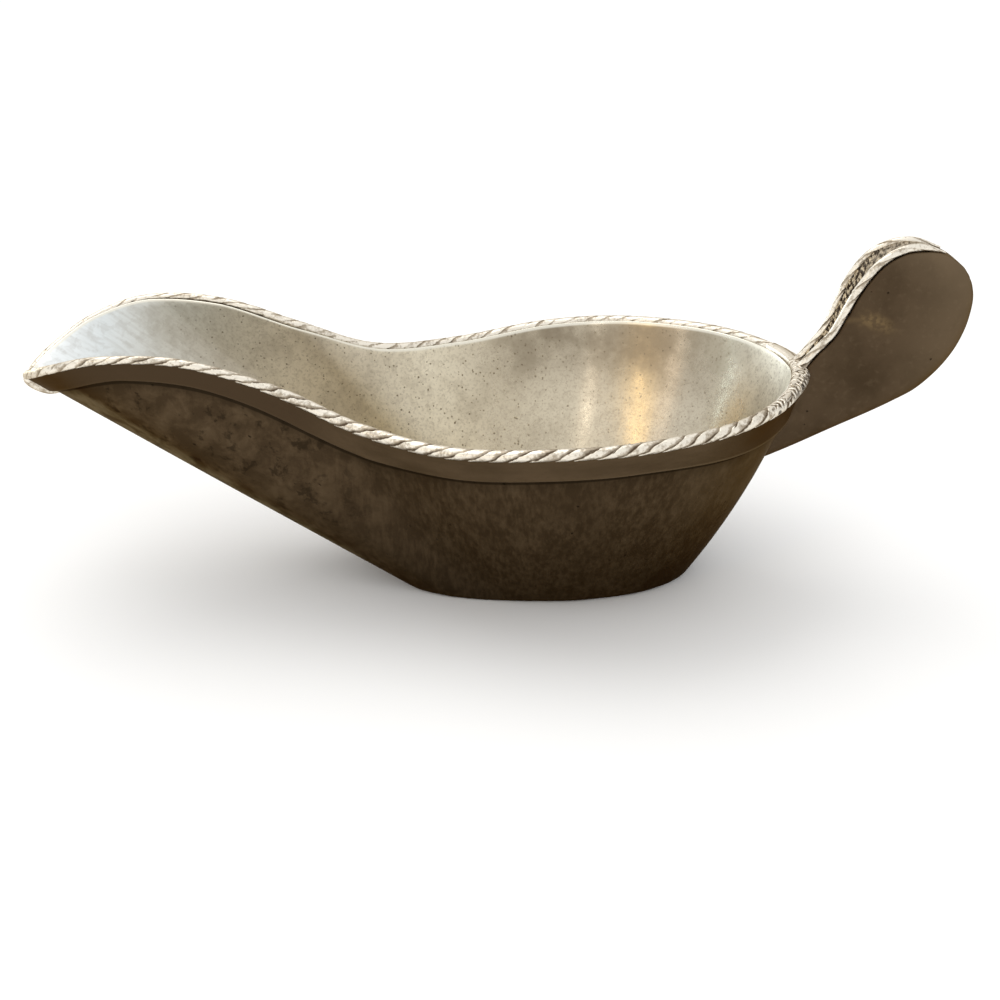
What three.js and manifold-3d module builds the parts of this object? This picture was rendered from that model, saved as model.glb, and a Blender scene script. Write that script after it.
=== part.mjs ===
// Sauce boat in white metal, with a rope-moulded rim, a long spout and a hollow leaf-shaped handle.
// Millimetres, +Z up, +X towards the handle, spout at -X. The origin is the middle of the flat base.
// The left side is at -Y, for someone who looks from the handle towards the spout.
import * as THREE from 'three';
import { mergeVertices } from 'three/addons/utils/BufferGeometryUtils.js';
import Module from 'manifold-3d';

const wasm = await Module();
wasm.setup();

// Base: an oval that is fuller towards the spout
const BASE_FRONT = 36.2;
const BASE_REAR = 35.4;
const BASE_HALF_WIDTH = 20.7;
const BASE_FULLNESS_FRONT = 2.8;
const BASE_FULLNESS_REAR = 2.05;
const BASE_EDGE_ROUND = 1.0;
const BASE_PLATE_THICKNESS = 2.0;

// Rim: its main sizes, then stations from the tip of the spout to the back. Each has the distance along
// the boat as a share of the spout's length (negative) or of the rear length, the half width and the
// height as shares of the largest ones, and the angle on the base oval where the wall's rib below starts.
const SPOUT_LENGTH = 121.8;
const REAR_LENGTH = 58.8;
const RIM_HALF_WIDTH = 43.6;
const RIM_HEIGHT = 61.5;
const RIM_STATIONS = [
  [-1.000, 0.000, 0.823, 0],
  [-0.979, 0.200, 0.863, 22],
  [-0.911, 0.428, 0.941, 40],
  [-0.805, 0.530, 1.000, 52],
  [-0.657, 0.528, 0.986, 60],
  [-0.493, 0.521, 0.880, 66],
  [-0.345, 0.626, 0.769, 72],
  [-0.181, 0.851, 0.745, 79],
  [0.000, 1.000, 0.781, 88],
  [0.340, 0.986, 0.805, 103],
  [0.680, 0.779, 0.821, 128],
  [0.901, 0.435, 0.834, 154],
  [1.000, 0.000, 0.843, 180],
];

// Wall of the bowl
const WALL_THICKNESS = 1.8;
const WALL_SWELL_FRONT = 0.9;
const WALL_SWELL_REAR = 2.5;

// Pieces that touch keep this clearance, the solder line of the real joint
const SOLDER_GAP = 0.3;

// The moulding on the rim is finer at the spout. Its sizes below are those round the bowl. The tip has
// this share of them, and it grows between these two shares of the way from the tip to the back.
const MOULDING_TIP_SHARE = 0.72;
const MOULDING_GROWS_FROM = 0.2;
const MOULDING_GROWS_TO = 0.42;
const RIB_EVENING = 0.025;

// Rope moulding of the rim, three strands, left-hand lay, centred a little outside and below the rim line
const ROPE_WIDTH = 3.2;
const ROPE_HEIGHT = 2.8;
const ROPE_OFFSET = 0.15;
const ROPE_DROP = 0.3;
const ROPE_STRANDS = 3;
const ROPE_STRAND_SPACING = 4.6;
const ROPE_GROOVE = 0.18;

// Collar band under the rope, which grows deeper by this share at the spout and at the back
const COLLAR_HEIGHT = 5.2;
const COLLAR_THICKNESS = 0.9;
const COLLAR_END_GROWTH = 0.38;
const COLLAR_END_FROM = 0.7;
const COLLAR_END_FULL = 0.95;

// Nose on the tip of the spout: its length along the rim, how far its front stands out of the band and
// how deep it reaches down the wall
const LIP_LENGTH = 8.0;
const LIP_OVERHANG = 3.8;
const LIP_HEIGHT = 1.2;
const LIP_DEPTH = 12.0;
const LIP_FOOT = 0.6;
const LIP_FULLEST_SHARE = 0.62;
const LIP_END_SHARE = 0.15;

// Pad at the back of the rim
const SADDLE_LENGTH = 30.0;
const SADDLE_WIDTH = 4.4;
const SADDLE_HEIGHT = 1.2;

// Handle: its main sizes, then pairs of points on the line of its front and top edge and on the line of
// its rear and lower edge. Each is a distance behind the rim's back point and a height above it, with the
// half thickness, all as shares of the main sizes. The first pairs lie inside the bowl, where the handle
// is cut to the wall.
const HANDLE_REACH = 38.7;
const HANDLE_HEIGHT = 27.1;
const HANDLE_HALF_THICKNESS = 5.8;
const HANDLE_STATIONS = [
  [-0.408, -0.587, -0.323, -0.950, 0.569],
  [-0.189, -0.328, -0.021, -0.755, 0.569],
  [-0.026, -0.092, 0.238, -0.572, 0.569],
  [0.090, 0.125, 0.450, -0.425, 0.586],
  [0.183, 0.299, 0.599, -0.310, 0.724],
  [0.238, 0.487, 0.724, -0.197, 0.879],
  [0.308, 0.720, 0.842, -0.023, 1.000],
  [0.403, 0.913, 0.925, 0.159, 0.983],
  [0.522, 1.018, 0.974, 0.336, 0.828],
  [0.650, 1.040, 0.995, 0.491, 0.655],
  [0.785, 1.013, 0.998, 0.613, 0.552],
  [0.893, 0.913, 0.982, 0.716, 0.414],
  [0.938, 0.840, 0.960, 0.782, 0.224],
];
const HANDLE_WALL = 1.5;
const HANDLE_CORNER = 0.6;
const HANDLE_HOLLOW_END = 0.86;
const HANDLE_FACE_FULLNESS = 4;

// Rope moulding along the handle's edge, which fades out near the tip, and the strip between its two runs
const EDGE_ROPE_DIAMETER = 2.0;
const EDGE_ROPE_STRAND_SPACING = 6.0;
const EDGE_ROPE_INSET = 0.1;
const EDGE_ROPE_START = 0.12;
const EDGE_ROPE_END = 0.83;
const EDGE_ROPE_FADE = 6.0;
const EDGE_ROPE_TIP_SHARE = 0.35;
const STRIP_THICKNESS = 1.0;

// How the curved lines are drawn and how finely the curved pieces are divided
const CURVE_TENSION = 0.5;
const LENGTH_DIVISIONS = 1200;
const HEIGHT_PASSES = 4;
const RIM_STEPS = 96;
const LIP_STEPS = 12;
const LIP_FRONT_STEPS = 8;
const SADDLE_STEPS = 20;
const WALL_ROWS = 5;
const POINTS_PER_STRAND = 3;
const ROPE_STEP = 1.7;
const EDGE_ROPE_STEP = 1.2;
const HANDLE_STEPS = 24;
const FACE_STEPS = 9;
const ROOM_ROWS = 3;
const ROOM_TOP_SHARE = 0.75;

// Metals: each its colour and roughness
const BRIGHT_METAL = [0xd9d3c4, 0.3];
const POLISHED_METAL = [0xb7b09c, 0.35];
const BROWN_METAL = [0x4a3b2c, 0.42];
const WORN_METAL = [0x62523f, 0.4];
const PITTED_METAL = [0x4a3b2c, 0.6];

// Skins rows of points, each row a closed loop, into one closed body. A hoop joins its last row to its
// first. Any other body gets a cap at each end, triangulated from the flat plan of that end's row.
function loft(rows, startPlan, endPlan) {
  const across = rows[0].length;
  const isHoop = startPlan === undefined;
  const indices = [];
  const joins = isHoop ? rows.length : rows.length - 1;
  for (let row = 0; row < joins; row++) {
    const here = row * across;
    const next = ((row + 1) % rows.length) * across;
    for (let i = 0; i < across; i++) {
      const j = (i + 1) % across;
      indices.push(here + i, next + i, next + j, here + i, next + j, here + j);
    }
  }
  if (!isHoop) {
    const last = (rows.length - 1) * across;
    for (const [a, b, c] of capFaces(startPlan)) indices.push(a, b, c);
    for (const [a, b, c] of capFaces(endPlan)) indices.push(last + c, last + b, last + a);
  }
  const points = rows.flat();
  if (signedVolume(points, indices) < 0) indices.reverse();
  const geometry = new THREE.BufferGeometry().setFromPoints(points);
  geometry.setIndex(indices);
  return geometry;
}

// Triangles of a flat outline, all wound the way the outline runs
function capFaces(plan) {
  const outlineArea = THREE.ShapeUtils.area(plan);
  return THREE.ShapeUtils.triangulateShape(plan, []).map((face) => {
    const faceArea = THREE.ShapeUtils.area(face.map((i) => plan[i]));
    return faceArea * outlineArea > 0 ? face : [face[2], face[1], face[0]];
  });
}

function signedVolume(points, indices) {
  let volume = 0;
  const cross = new THREE.Vector3();
  for (let i = 0; i < indices.length; i += 3) {
    const [a, b, c] = [points[indices[i]], points[indices[i + 1]], points[indices[i + 2]]];
    volume += a.dot(cross.crossVectors(b, c)) / 6;
  }
  return volume;
}

function planFromAbove(row) {
  return row.map((point) => new THREE.Vector2(point.x, point.y));
}

function toSolid(geometry) {
  const merged = mergeVertices(geometry);
  return new wasm.Manifold(new wasm.Mesh({
    numProp: 3,
    vertProperties: new Float32Array(merged.attributes.position.array),
    triVerts: new Uint32Array(merged.index.array),
  }));
}

function toGeometry(solid) {
  const { vertProperties, triVerts } = solid.getMesh();
  const geometry = new THREE.BufferGeometry();
  geometry.setAttribute('position', new THREE.BufferAttribute(vertProperties, 3));
  geometry.setIndex(new THREE.BufferAttribute(triVerts, 1));
  return geometry;
}

// Rim line and base line: closed curves whose points at the same t are the two ends of one rib
function basePoint(ribAngle) {
  const angle = THREE.MathUtils.degToRad(ribAngle);
  const along = Math.cos(angle);
  const across = Math.sin(angle);
  const fullness = along > 0 ? BASE_FULLNESS_FRONT : BASE_FULLNESS_REAR;
  const length = along > 0 ? BASE_FRONT : BASE_REAR;
  const scale = (Math.abs(along) ** fullness + Math.abs(across) ** fullness) ** (-1 / fullness);
  return new THREE.Vector3(-along * scale * length, -across * scale * BASE_HALF_WIDTH, 0);
}

function rimStation([along, across, up, ribAngle]) {
  const x = along * (along < 0 ? SPOUT_LENGTH : REAR_LENGTH);
  return [x, -across * RIM_HALF_WIDTH, up * RIM_HEIGHT, ribAngle];
}
const leftStations = RIM_STATIONS.map(rimStation);
const rightStations = leftStations.slice(1, -1).reverse()
  .map(([x, y, z, ribAngle]) => [x, -y, z, 360 - ribAngle]);
const allStations = [...leftStations, ...rightStations];
const rimLine = new THREE.CatmullRomCurve3(
  allStations.map(([x, y, z]) => new THREE.Vector3(x, y, z)), true, 'catmullrom', CURVE_TENSION);
const baseLine = new THREE.CatmullRomCurve3(
  allStations.map(([, , , ribAngle]) => basePoint(ribAngle)), true, 'catmullrom', CURVE_TENSION);
rimLine.arcLengthDivisions = LENGTH_DIVISIONS;
const rimLength = rimLine.getLength();

function rimPlace(length) {
  const place = rimLine.getUtoTmapping(Math.abs(length) / rimLength);
  return length < 0 ? -place : place;
}

// Length of the rib at t, measured square to the rim line and evened out over a short stretch of it
function ribAcross(t) {
  const lengths = stepsFrom(t - RIB_EVENING, t + RIB_EVENING, 4).map((place) => {
    const near = THREE.MathUtils.euclideanModulo(place, 1);
    const rib = rimLine.getPoint(near).sub(baseLine.getPoint(near));
    return rib.cross(rimLine.getTangent(near)).length();
  });
  return lengths.reduce((sum, length) => sum + length) / lengths.length;
}

// Share of the way from the tip to the back
function rearShare(t) {
  return (1 - Math.cos(2 * Math.PI * t)) / 2;
}

function mouldingShare(t) {
  const growth = THREE.MathUtils.smoothstep(rearShare(t), MOULDING_GROWS_FROM, MOULDING_GROWS_TO);
  return THREE.MathUtils.lerp(MOULDING_TIP_SHARE, 1, growth);
}

// Outer face of the wall: straight ribs from the base, share 0, to the rim line, share 1, which swell
// outwards a little at mid height
const TINY = 1e-4;
function wallFace(t, share) {
  const point = baseLine.getPoint(t).lerp(rimLine.getPoint(t), share);
  const ahead = baseLine.getPoint(t + TINY).lerp(rimLine.getPoint(t + TINY), share).sub(point);
  const outwards = new THREE.Vector3(ahead.y, -ahead.x, 0).normalize();
  const swell = THREE.MathUtils.lerp(WALL_SWELL_FRONT, WALL_SWELL_REAR, rearShare(t));
  return point.addScaledVector(outwards, swell * 4 * share * (1 - share));
}

// Point at a distance out from the wall's outer face, square to it
function wallPoint(t, share, out) {
  const along = wallFace(t + TINY, share).sub(wallFace(t - TINY, share));
  const up = wallFace(t, share + TINY).sub(wallFace(t, share - TINY));
  return wallFace(t, share).addScaledVector(along.cross(up).normalize(), out);
}

function wallPointAtHeight(t, height, out) {
  const rimHeight = rimLine.getPoint(t).z;
  let share = height / rimHeight;
  for (let pass = 0; pass < HEIGHT_PASSES; pass++) {
    share += (height - wallPoint(t, share, out).z) / rimHeight;
  }
  return wallPoint(t, share, out).setZ(height);
}

// Share of the rib at a height of the moulding above the rim line, measured square to that line
function mouldingHeight(t, height) {
  return 1 + (height * mouldingShare(t)) / ribAcross(t);
}

// Point of the moulding by its distance out from the wall and its height above the rim line
function rimPoint(t, out, height) {
  return wallPoint(t, mouldingHeight(t, height), out * mouldingShare(t));
}

// Bowl
const ropeUnderside = -ROPE_DROP - ROPE_HEIGHT / 2;
const ropeTop = -ROPE_DROP + ROPE_HEIGHT / 2;
const seatHeight = ropeUnderside - SOLDER_GAP;

function wallRow(t) {
  const topShare = mouldingHeight(t, seatHeight);
  const lowShare = BASE_EDGE_ROUND / rimLine.getPoint(t).z;
  const shares = [];
  for (let i = 1; i <= WALL_ROWS; i++) {
    shares.push(THREE.MathUtils.lerp(lowShare, topShare, i / WALL_ROWS));
  }
  const cornerShare = 1 - Math.SQRT1_2;
  return [
    wallPointAtHeight(t, 0, -BASE_EDGE_ROUND),
    wallPointAtHeight(t, cornerShare * BASE_EDGE_ROUND, -cornerShare * BASE_EDGE_ROUND),
    wallPointAtHeight(t, BASE_EDGE_ROUND, 0),
    ...shares.map((share) => wallPoint(t, share, 0)),
    ...shares.reverse().map((share) => wallPoint(t, share, -WALL_THICKNESS)),
    wallPointAtHeight(t, BASE_PLATE_THICKNESS, -WALL_THICKNESS),
    wallPointAtHeight(t, 0, -WALL_THICKNESS),
  ];
}

function stepsFrom(start, end, count) {
  return Array.from({ length: count + 1 }, (_, i) => THREE.MathUtils.lerp(start, end, i / count));
}

const aroundRim = stepsFrom(0, 1, RIM_STEPS).slice(0, -1);
const bowlWall = loft(aroundRim.map(wallRow));

const plateInset = WALL_THICKNESS + SOLDER_GAP;
const plateBottom = aroundRim.map((t) => wallPointAtHeight(t, 0, -plateInset));
const plateTop = aroundRim.map((t) => wallPointAtHeight(t, BASE_PLATE_THICKNESS, -plateInset));
const basePlate = loft([plateBottom, plateTop], planFromAbove(plateBottom), planFromAbove(plateTop));

// Pieces on the rim: a profile of [out, height] points, shaped by its place, carried along the rim line
function sweepAlongRim(profile, startLength, endLength, steps, shape = (same) => same) {
  const rows = stepsFrom(rimPlace(startLength), rimPlace(endLength), steps)
    .map((t, step) => shape(profile, step / steps, t).map(([out, height]) => rimPoint(t, out, height)));
  const plan = profile.map(([out, height]) => new THREE.Vector2(out, height));
  return loft(rows, plan, plan);
}

const collarInner = SOLDER_GAP;
const collarOuter = collarInner + COLLAR_THICKNESS;
const collarBottom = seatHeight - COLLAR_HEIGHT;
const collarDeepest = seatHeight - COLLAR_HEIGHT * (1 + COLLAR_END_GROWTH);
const collarBevel = COLLAR_THICKNESS / 3;
const collarProfile = [
  [collarInner, seatHeight],
  [collarInner, collarBottom],
  [collarOuter - collarBevel, collarBottom],
  [collarOuter, collarBottom + collarBevel],
  [collarOuter, seatHeight - collarBevel],
  [collarOuter - collarBevel, seatHeight],
];

// Height below the band's seat, grown by the share that its place has
function deepenAtEnds(height, t) {
  const end = Math.abs(2 * rearShare(t) - 1);
  const growth = COLLAR_END_GROWTH * THREE.MathUtils.smoothstep(end, COLLAR_END_FROM, COLLAR_END_FULL);
  return seatHeight + (height - seatHeight) * (1 + growth);
}
const collarStart = LIP_LENGTH / 2 + SOLDER_GAP;
const rimCollar = sweepAlongRim(
  collarProfile, collarStart, rimLength - collarStart, RIM_STEPS,
  (profile, _, t) => profile.map(([out, height]) => [out, deepenAtEnds(height, t)]));

const ropeInner = ROPE_OFFSET - ROPE_WIDTH / 2;
const ropeOuter = ROPE_OFFSET + ROPE_WIDTH / 2;

// The nose: its front is one curve from its foot on the wall up and over the rope's outer side
const lipBevel = LIP_HEIGHT / 2;
const lipFront = new THREE.CubicBezierCurve(
  new THREE.Vector2(collarInner + LIP_FOOT, -LIP_DEPTH),
  new THREE.Vector2(collarOuter + LIP_OVERHANG, -LIP_DEPTH * LIP_FULLEST_SHARE),
  new THREE.Vector2(collarOuter + LIP_OVERHANG, 0),
  new THREE.Vector2(ropeOuter, LIP_HEIGHT),
);
const lipProfile = [
  [ropeInner, ropeUnderside],
  [collarInner, ropeUnderside],
  [collarInner, -LIP_DEPTH],
  ...lipFront.getPoints(LIP_FRONT_STEPS).map((point) => [point.x, point.y]),
  [ropeInner + lipBevel, LIP_HEIGHT],
  [ropeInner, LIP_HEIGHT - lipBevel],
];

// At its ends the nose draws in almost to the band's section
function drawInLip(profile, share) {
  const fullness = THREE.MathUtils.lerp(LIP_END_SHARE, 1, Math.sqrt(Math.sin(Math.PI * share)));
  return profile.map(([out, height]) => [
    Math.min(out, collarOuter) + Math.max(out - collarOuter, 0) * fullness,
    Math.max(height, collarDeepest) + Math.min(height - collarDeepest, 0) * fullness,
  ]);
}
const spoutLip = sweepAlongRim(lipProfile, -LIP_LENGTH / 2, LIP_LENGTH / 2, LIP_STEPS, drawInLip);

const saddleBevel = SADDLE_HEIGHT / 2;
const saddleInner = ROPE_OFFSET - SADDLE_WIDTH / 2;
const saddleOuter = ROPE_OFFSET + SADDLE_WIDTH / 2;
const saddleProfile = [
  [saddleInner, ropeUnderside],
  [saddleOuter, ropeUnderside],
  [saddleOuter, SADDLE_HEIGHT - saddleBevel],
  [saddleOuter - saddleBevel, SADDLE_HEIGHT],
  [saddleInner + saddleBevel, SADDLE_HEIGHT],
  [saddleInner, SADDLE_HEIGHT - saddleBevel],
];

// The pad narrows to the rope's width at its ends
function narrowSaddle(profile, share) {
  const width = THREE.MathUtils.lerp(ROPE_WIDTH, SADDLE_WIDTH, Math.sin(Math.PI * share));
  return profile.map(([out, height]) => [ROPE_OFFSET + ((out - ROPE_OFFSET) * width) / SADDLE_WIDTH, height]);
}
const rearLength = rimLength / 2;
const rimSaddle = sweepAlongRim(
  saddleProfile, rearLength - SADDLE_LENGTH / 2, rearLength + SADDLE_LENGTH / 2, SADDLE_STEPS, narrowSaddle);

// Twisted rope: rounds of points that turn as they go, with a groove between each two strands
function ropeProfile(turn, strands, groove) {
  const count = strands * POINTS_PER_STRAND;
  return Array.from({ length: count }, (_, i) => {
    const angle = turn + (2 * Math.PI * i) / count;
    const reach = i % POINTS_PER_STRAND === 0 ? 1 - groove : 1;
    return [Math.cos(angle) * reach, Math.sin(angle) * reach];
  });
}

function rimRope(startLength, endLength) {
  const steps = Math.ceil((endLength - startLength) / ROPE_STEP);
  const rounds = stepsFrom(startLength, endLength, steps).map((length) => {
    const turn = (2 * Math.PI * length) / (ROPE_STRANDS * ROPE_STRAND_SPACING);
    return { t: rimPlace(length), profile: ropeProfile(turn, ROPE_STRANDS, ROPE_GROOVE) };
  });
  const rows = rounds.map(({ t, profile }) => profile.map(([across, up]) =>
    rimPoint(t, ROPE_OFFSET + (across * ROPE_WIDTH) / 2, (up * ROPE_HEIGHT) / 2 - ROPE_DROP)));
  const plans = rounds.map(({ profile }) => profile.map(([across, up]) => new THREE.Vector2(across, up)));
  return loft(rows, plans.at(0), plans.at(-1));
}

const ropeStart = LIP_LENGTH / 2 + SOLDER_GAP;
const ropeEnd = rearLength - SADDLE_LENGTH / 2 - SOLDER_GAP;
const rimRopeLeft = rimRope(ropeStart, ropeEnd);
const rimRopeRight = rimRope(rimLength - ropeEnd, rimLength - ropeStart);

// Room that the bowl and its rim take up, with the solder gap all round: the handle is cut to it
function bowlRoom() {
  const top = Math.max(ropeTop, SADDLE_HEIGHT) + SOLDER_GAP;
  const bandOutline = [
    [SOLDER_GAP, collarBottom - SOLDER_GAP],
    [collarOuter + SOLDER_GAP, collarBottom - SOLDER_GAP],
    [collarOuter + SOLDER_GAP, seatHeight - SOLDER_GAP],
  ];
  const ropeOutline = [
    [saddleOuter + SOLDER_GAP, seatHeight],
    [saddleOuter + SOLDER_GAP, top],
    [saddleInner - SOLDER_GAP, top],
  ];
  const shares = stepsFrom(0, ROOM_TOP_SHARE, ROOM_ROWS);
  const rows = [
    ...shares.map((share) => aroundRim.map((t) => wallPoint(t, share, SOLDER_GAP))),
    ...bandOutline.map(([out, height]) => aroundRim.map((t) => rimPoint(t, out, deepenAtEnds(height, t)))),
    ...ropeOutline.map(([out, height]) => aroundRim.map((t) => rimPoint(t, out, height))),
  ];
  return toSolid(loft(rows, planFromAbove(rows.at(0)), planFromAbove(rows.at(-1))));
}
const room = bowlRoom();

// Handle: the edge line and the seam line, whose points at the same t are the ends of one section. The
// edge line's y is the half thickness there.
const rimBack = rimLine.getPoint(0.5);
function handleStation(behind, above, halfThickness) {
  return new THREE.Vector3(
    rimBack.x + behind * HANDLE_REACH,
    halfThickness * HANDLE_HALF_THICKNESS,
    rimBack.z + above * HANDLE_HEIGHT,
  );
}
const edgePoints = HANDLE_STATIONS.map(([behind, above, , , halfThickness]) =>
  handleStation(behind, above, halfThickness));
const seamPoints = HANDLE_STATIONS.map(([, , behind, above]) => handleStation(behind, above, 0));
const edgeLine = new THREE.CatmullRomCurve3(edgePoints, false, 'catmullrom', CURVE_TENSION);
const seamLine = new THREE.CatmullRomCurve3(seamPoints, false, 'catmullrom', CURVE_TENSION);

// Point of the handle by its way down from the edge line towards the seam line and out from the middle
function handlePoint(t, down, out) {
  const edge = edgeLine.getPoint(t).setY(0);
  const towardsSeam = seamLine.getPoint(t).sub(edge).normalize();
  return edge.addScaledVector(towardsSeam, down).setY(out);
}

// Half of the handle's section, drawn in by inset: square along the edge, flat on the face, round at the
// seam, and closed at the distance middle from the middle plane
function handleOutline(t, inset, middle) {
  const edge = edgeLine.getPoint(t);
  const halfThickness = edge.y - inset;
  const width = seamLine.getPoint(t).distanceTo(edge.setY(0)) - inset;
  const faceStart = inset + HANDLE_CORNER;
  const face = stepsFrom(0, 1, FACE_STEPS).slice(0, -1).map((step) => {
    const share = Math.sin((step * Math.PI) / 2);
    const out = halfThickness * Math.sqrt(1 - share ** HANDLE_FACE_FULLNESS);
    return [THREE.MathUtils.lerp(faceStart, width, share), out];
  });
  return [[inset, middle], [inset, halfThickness - HANDLE_CORNER], ...face, [width, middle]];
}

function handleHalf(side, inset, middle, end) {
  const places = stepsFrom(0, end, HANDLE_STEPS);
  const outlines = places.map((t) => handleOutline(t, inset, middle));
  const rows = places.map((t, i) => outlines[i].map(([down, out]) => handlePoint(t, down, side * out)));
  const plans = outlines.map((outline) => outline.map(([down, out]) => new THREE.Vector2(down, out)));
  return toSolid(loft(rows, plans.at(0), plans.at(-1)));
}

const LEFT = -1;
const RIGHT = 1;
function handleShell(side) {
  const outside = handleHalf(side, 0, SOLDER_GAP / 2, 1);
  const hollow = handleHalf(side, HANDLE_WALL, -HANDLE_WALL, HANDLE_HOLLOW_END);
  return toGeometry(outside.subtract(hollow).subtract(room));
}

// Direction square to the edge line in the middle plane, away from the handle
function edgeOutwards(t) {
  const along = edgeLine.getTangent(t);
  return new THREE.Vector3(-along.z, 0, along.x).normalize();
}

// The ropes and the strip lie on the handle's edge
class EdgeRopeLine extends THREE.Curve {
  constructor(side) {
    super();
    this.side = side;
  }

  getPoint(share) {
    const t = THREE.MathUtils.lerp(EDGE_ROPE_START, EDGE_ROPE_END, share);
    const edge = edgeLine.getPoint(t);
    const radius = EDGE_ROPE_DIAMETER / 2;
    const out = edge.y - radius - EDGE_ROPE_INSET;
    return edge.addScaledVector(edgeOutwards(t), SOLDER_GAP + radius).setY(this.side * out);
  }
}

function edgeRope(side) {
  const line = new EdgeRopeLine(side);
  const length = line.getLength();
  const radius = EDGE_ROPE_DIAMETER / 2;
  const turnLength = ROPE_STRANDS * EDGE_ROPE_STRAND_SPACING;
  const rounds = stepsFrom(0, 1, Math.ceil(length / EDGE_ROPE_STEP)).map((share) => {
    const centre = line.getPointAt(share);
    const along = line.getTangentAt(share);
    const t = THREE.MathUtils.lerp(EDGE_ROPE_START, EDGE_ROPE_END, line.getUtoTmapping(share));
    const outwards = edgeOutwards(t);
    const sideways = new THREE.Vector3().crossVectors(along, outwards);
    const fade = Math.min(1, EDGE_ROPE_TIP_SHARE + (length * (1 - share)) / EDGE_ROPE_FADE);
    centre.addScaledVector(outwards, radius * (fade - 1));
    const profile = ropeProfile((2 * Math.PI * share * length) / turnLength, ROPE_STRANDS, ROPE_GROOVE);
    const row = profile.map(([across, up]) => centre.clone()
      .addScaledVector(sideways, -across * radius * fade)
      .addScaledVector(outwards, up * radius * fade));
    return { row, plan: profile.map(([across, up]) => new THREE.Vector2(across, up)) };
  });
  const solid = toSolid(loft(rounds.map(({ row }) => row), rounds.at(0).plan, rounds.at(-1).plan));
  return toGeometry(solid.subtract(room));
}

function edgeStrip() {
  const rows = stepsFrom(EDGE_ROPE_START, EDGE_ROPE_END, HANDLE_STEPS).map((t) => {
    const edge = edgeLine.getPoint(t);
    const halfWidth = edge.y - EDGE_ROPE_INSET - EDGE_ROPE_DIAMETER - SOLDER_GAP;
    const outwards = edgeOutwards(t);
    const corners = [
      [-halfWidth, SOLDER_GAP],
      [halfWidth, SOLDER_GAP],
      [halfWidth, SOLDER_GAP + STRIP_THICKNESS],
      [-halfWidth, SOLDER_GAP + STRIP_THICKNESS],
    ];
    return corners.map(([across, up]) => edge.clone().addScaledVector(outwards, up).setY(across));
  });
  const plan = [[-1, 0], [1, 0], [1, 1], [-1, 1]].map(([across, up]) => new THREE.Vector2(across, up));
  return toGeometry(toSolid(loft(rows, plan, plan)).subtract(room));
}

// Assembly
const sauceBoat = new THREE.Group();
function addPiece(name, geometry, [color, roughness]) {
  const mesh = new THREE.Mesh(geometry, new THREE.MeshStandardMaterial({ color, roughness, metalness: 1 }));
  mesh.name = name;
  sauceBoat.add(mesh);
}

addPiece('bowl_wall', bowlWall, BROWN_METAL);
addPiece('base_plate', basePlate, POLISHED_METAL);
addPiece('rim_collar', rimCollar, WORN_METAL);
addPiece('spout_lip', spoutLip, BRIGHT_METAL);
addPiece('rim_rope_left', rimRopeLeft, BRIGHT_METAL);
addPiece('rim_rope_right', rimRopeRight, BRIGHT_METAL);
addPiece('rim_saddle', rimSaddle, BRIGHT_METAL);
addPiece('handle_shell_left', handleShell(LEFT), WORN_METAL);
addPiece('handle_shell_right', handleShell(RIGHT), WORN_METAL);
addPiece('handle_rope_left', edgeRope(LEFT), BRIGHT_METAL);
addPiece('handle_rope_right', edgeRope(RIGHT), BRIGHT_METAL);
addPiece('handle_edge_strip', edgeStrip(), PITTED_METAL);

export default sauceBoat;
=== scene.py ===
# %% [markdown]
# A sauce boat in white metal, dressed for the camera. The construction model gives the frame: twelve solids
# in one shared set of axes, +X towards the handle, the spout at -X, +Z up, origin in the middle of the flat
# base. It is loaded first, because every finer surface below has to lie where its solid lies.

# %% Load the frame
import math

import bpy
import numpy as np
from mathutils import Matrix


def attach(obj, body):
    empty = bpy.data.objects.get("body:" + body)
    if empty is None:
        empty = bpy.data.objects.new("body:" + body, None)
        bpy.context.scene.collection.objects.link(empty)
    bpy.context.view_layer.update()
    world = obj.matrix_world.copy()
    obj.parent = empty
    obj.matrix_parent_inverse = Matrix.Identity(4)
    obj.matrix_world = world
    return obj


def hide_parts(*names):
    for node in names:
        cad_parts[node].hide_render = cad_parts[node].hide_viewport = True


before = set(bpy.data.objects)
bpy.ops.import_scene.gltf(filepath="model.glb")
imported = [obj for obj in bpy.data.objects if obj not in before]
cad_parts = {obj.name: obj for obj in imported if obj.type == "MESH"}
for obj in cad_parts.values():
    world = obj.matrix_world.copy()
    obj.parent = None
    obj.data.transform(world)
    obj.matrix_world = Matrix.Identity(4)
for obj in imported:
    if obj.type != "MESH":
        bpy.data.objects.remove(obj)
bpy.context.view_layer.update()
MM = 0.001

# %% [markdown]
# The camera stands where the picture was taken from. A close camera makes the near rim look larger
# than the far one, and that difference fixes its distance: about 36 cm from the middle of the boat,
# 25 degrees above the table, level with it from left to right. It could be aimed with a constraint,
# but two angles and a distance are easier to read and leave nothing live in the file.

# %% Camera
VIEW_DISTANCE = 0.360
VIEW_ELEVATION = math.radians(25)
VIEW_TARGET = (-0.01125, 0.00655, 0.01405)
SENSOR_WIDTH = 36.0
FOCAL_RATIO = 1.44

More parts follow.
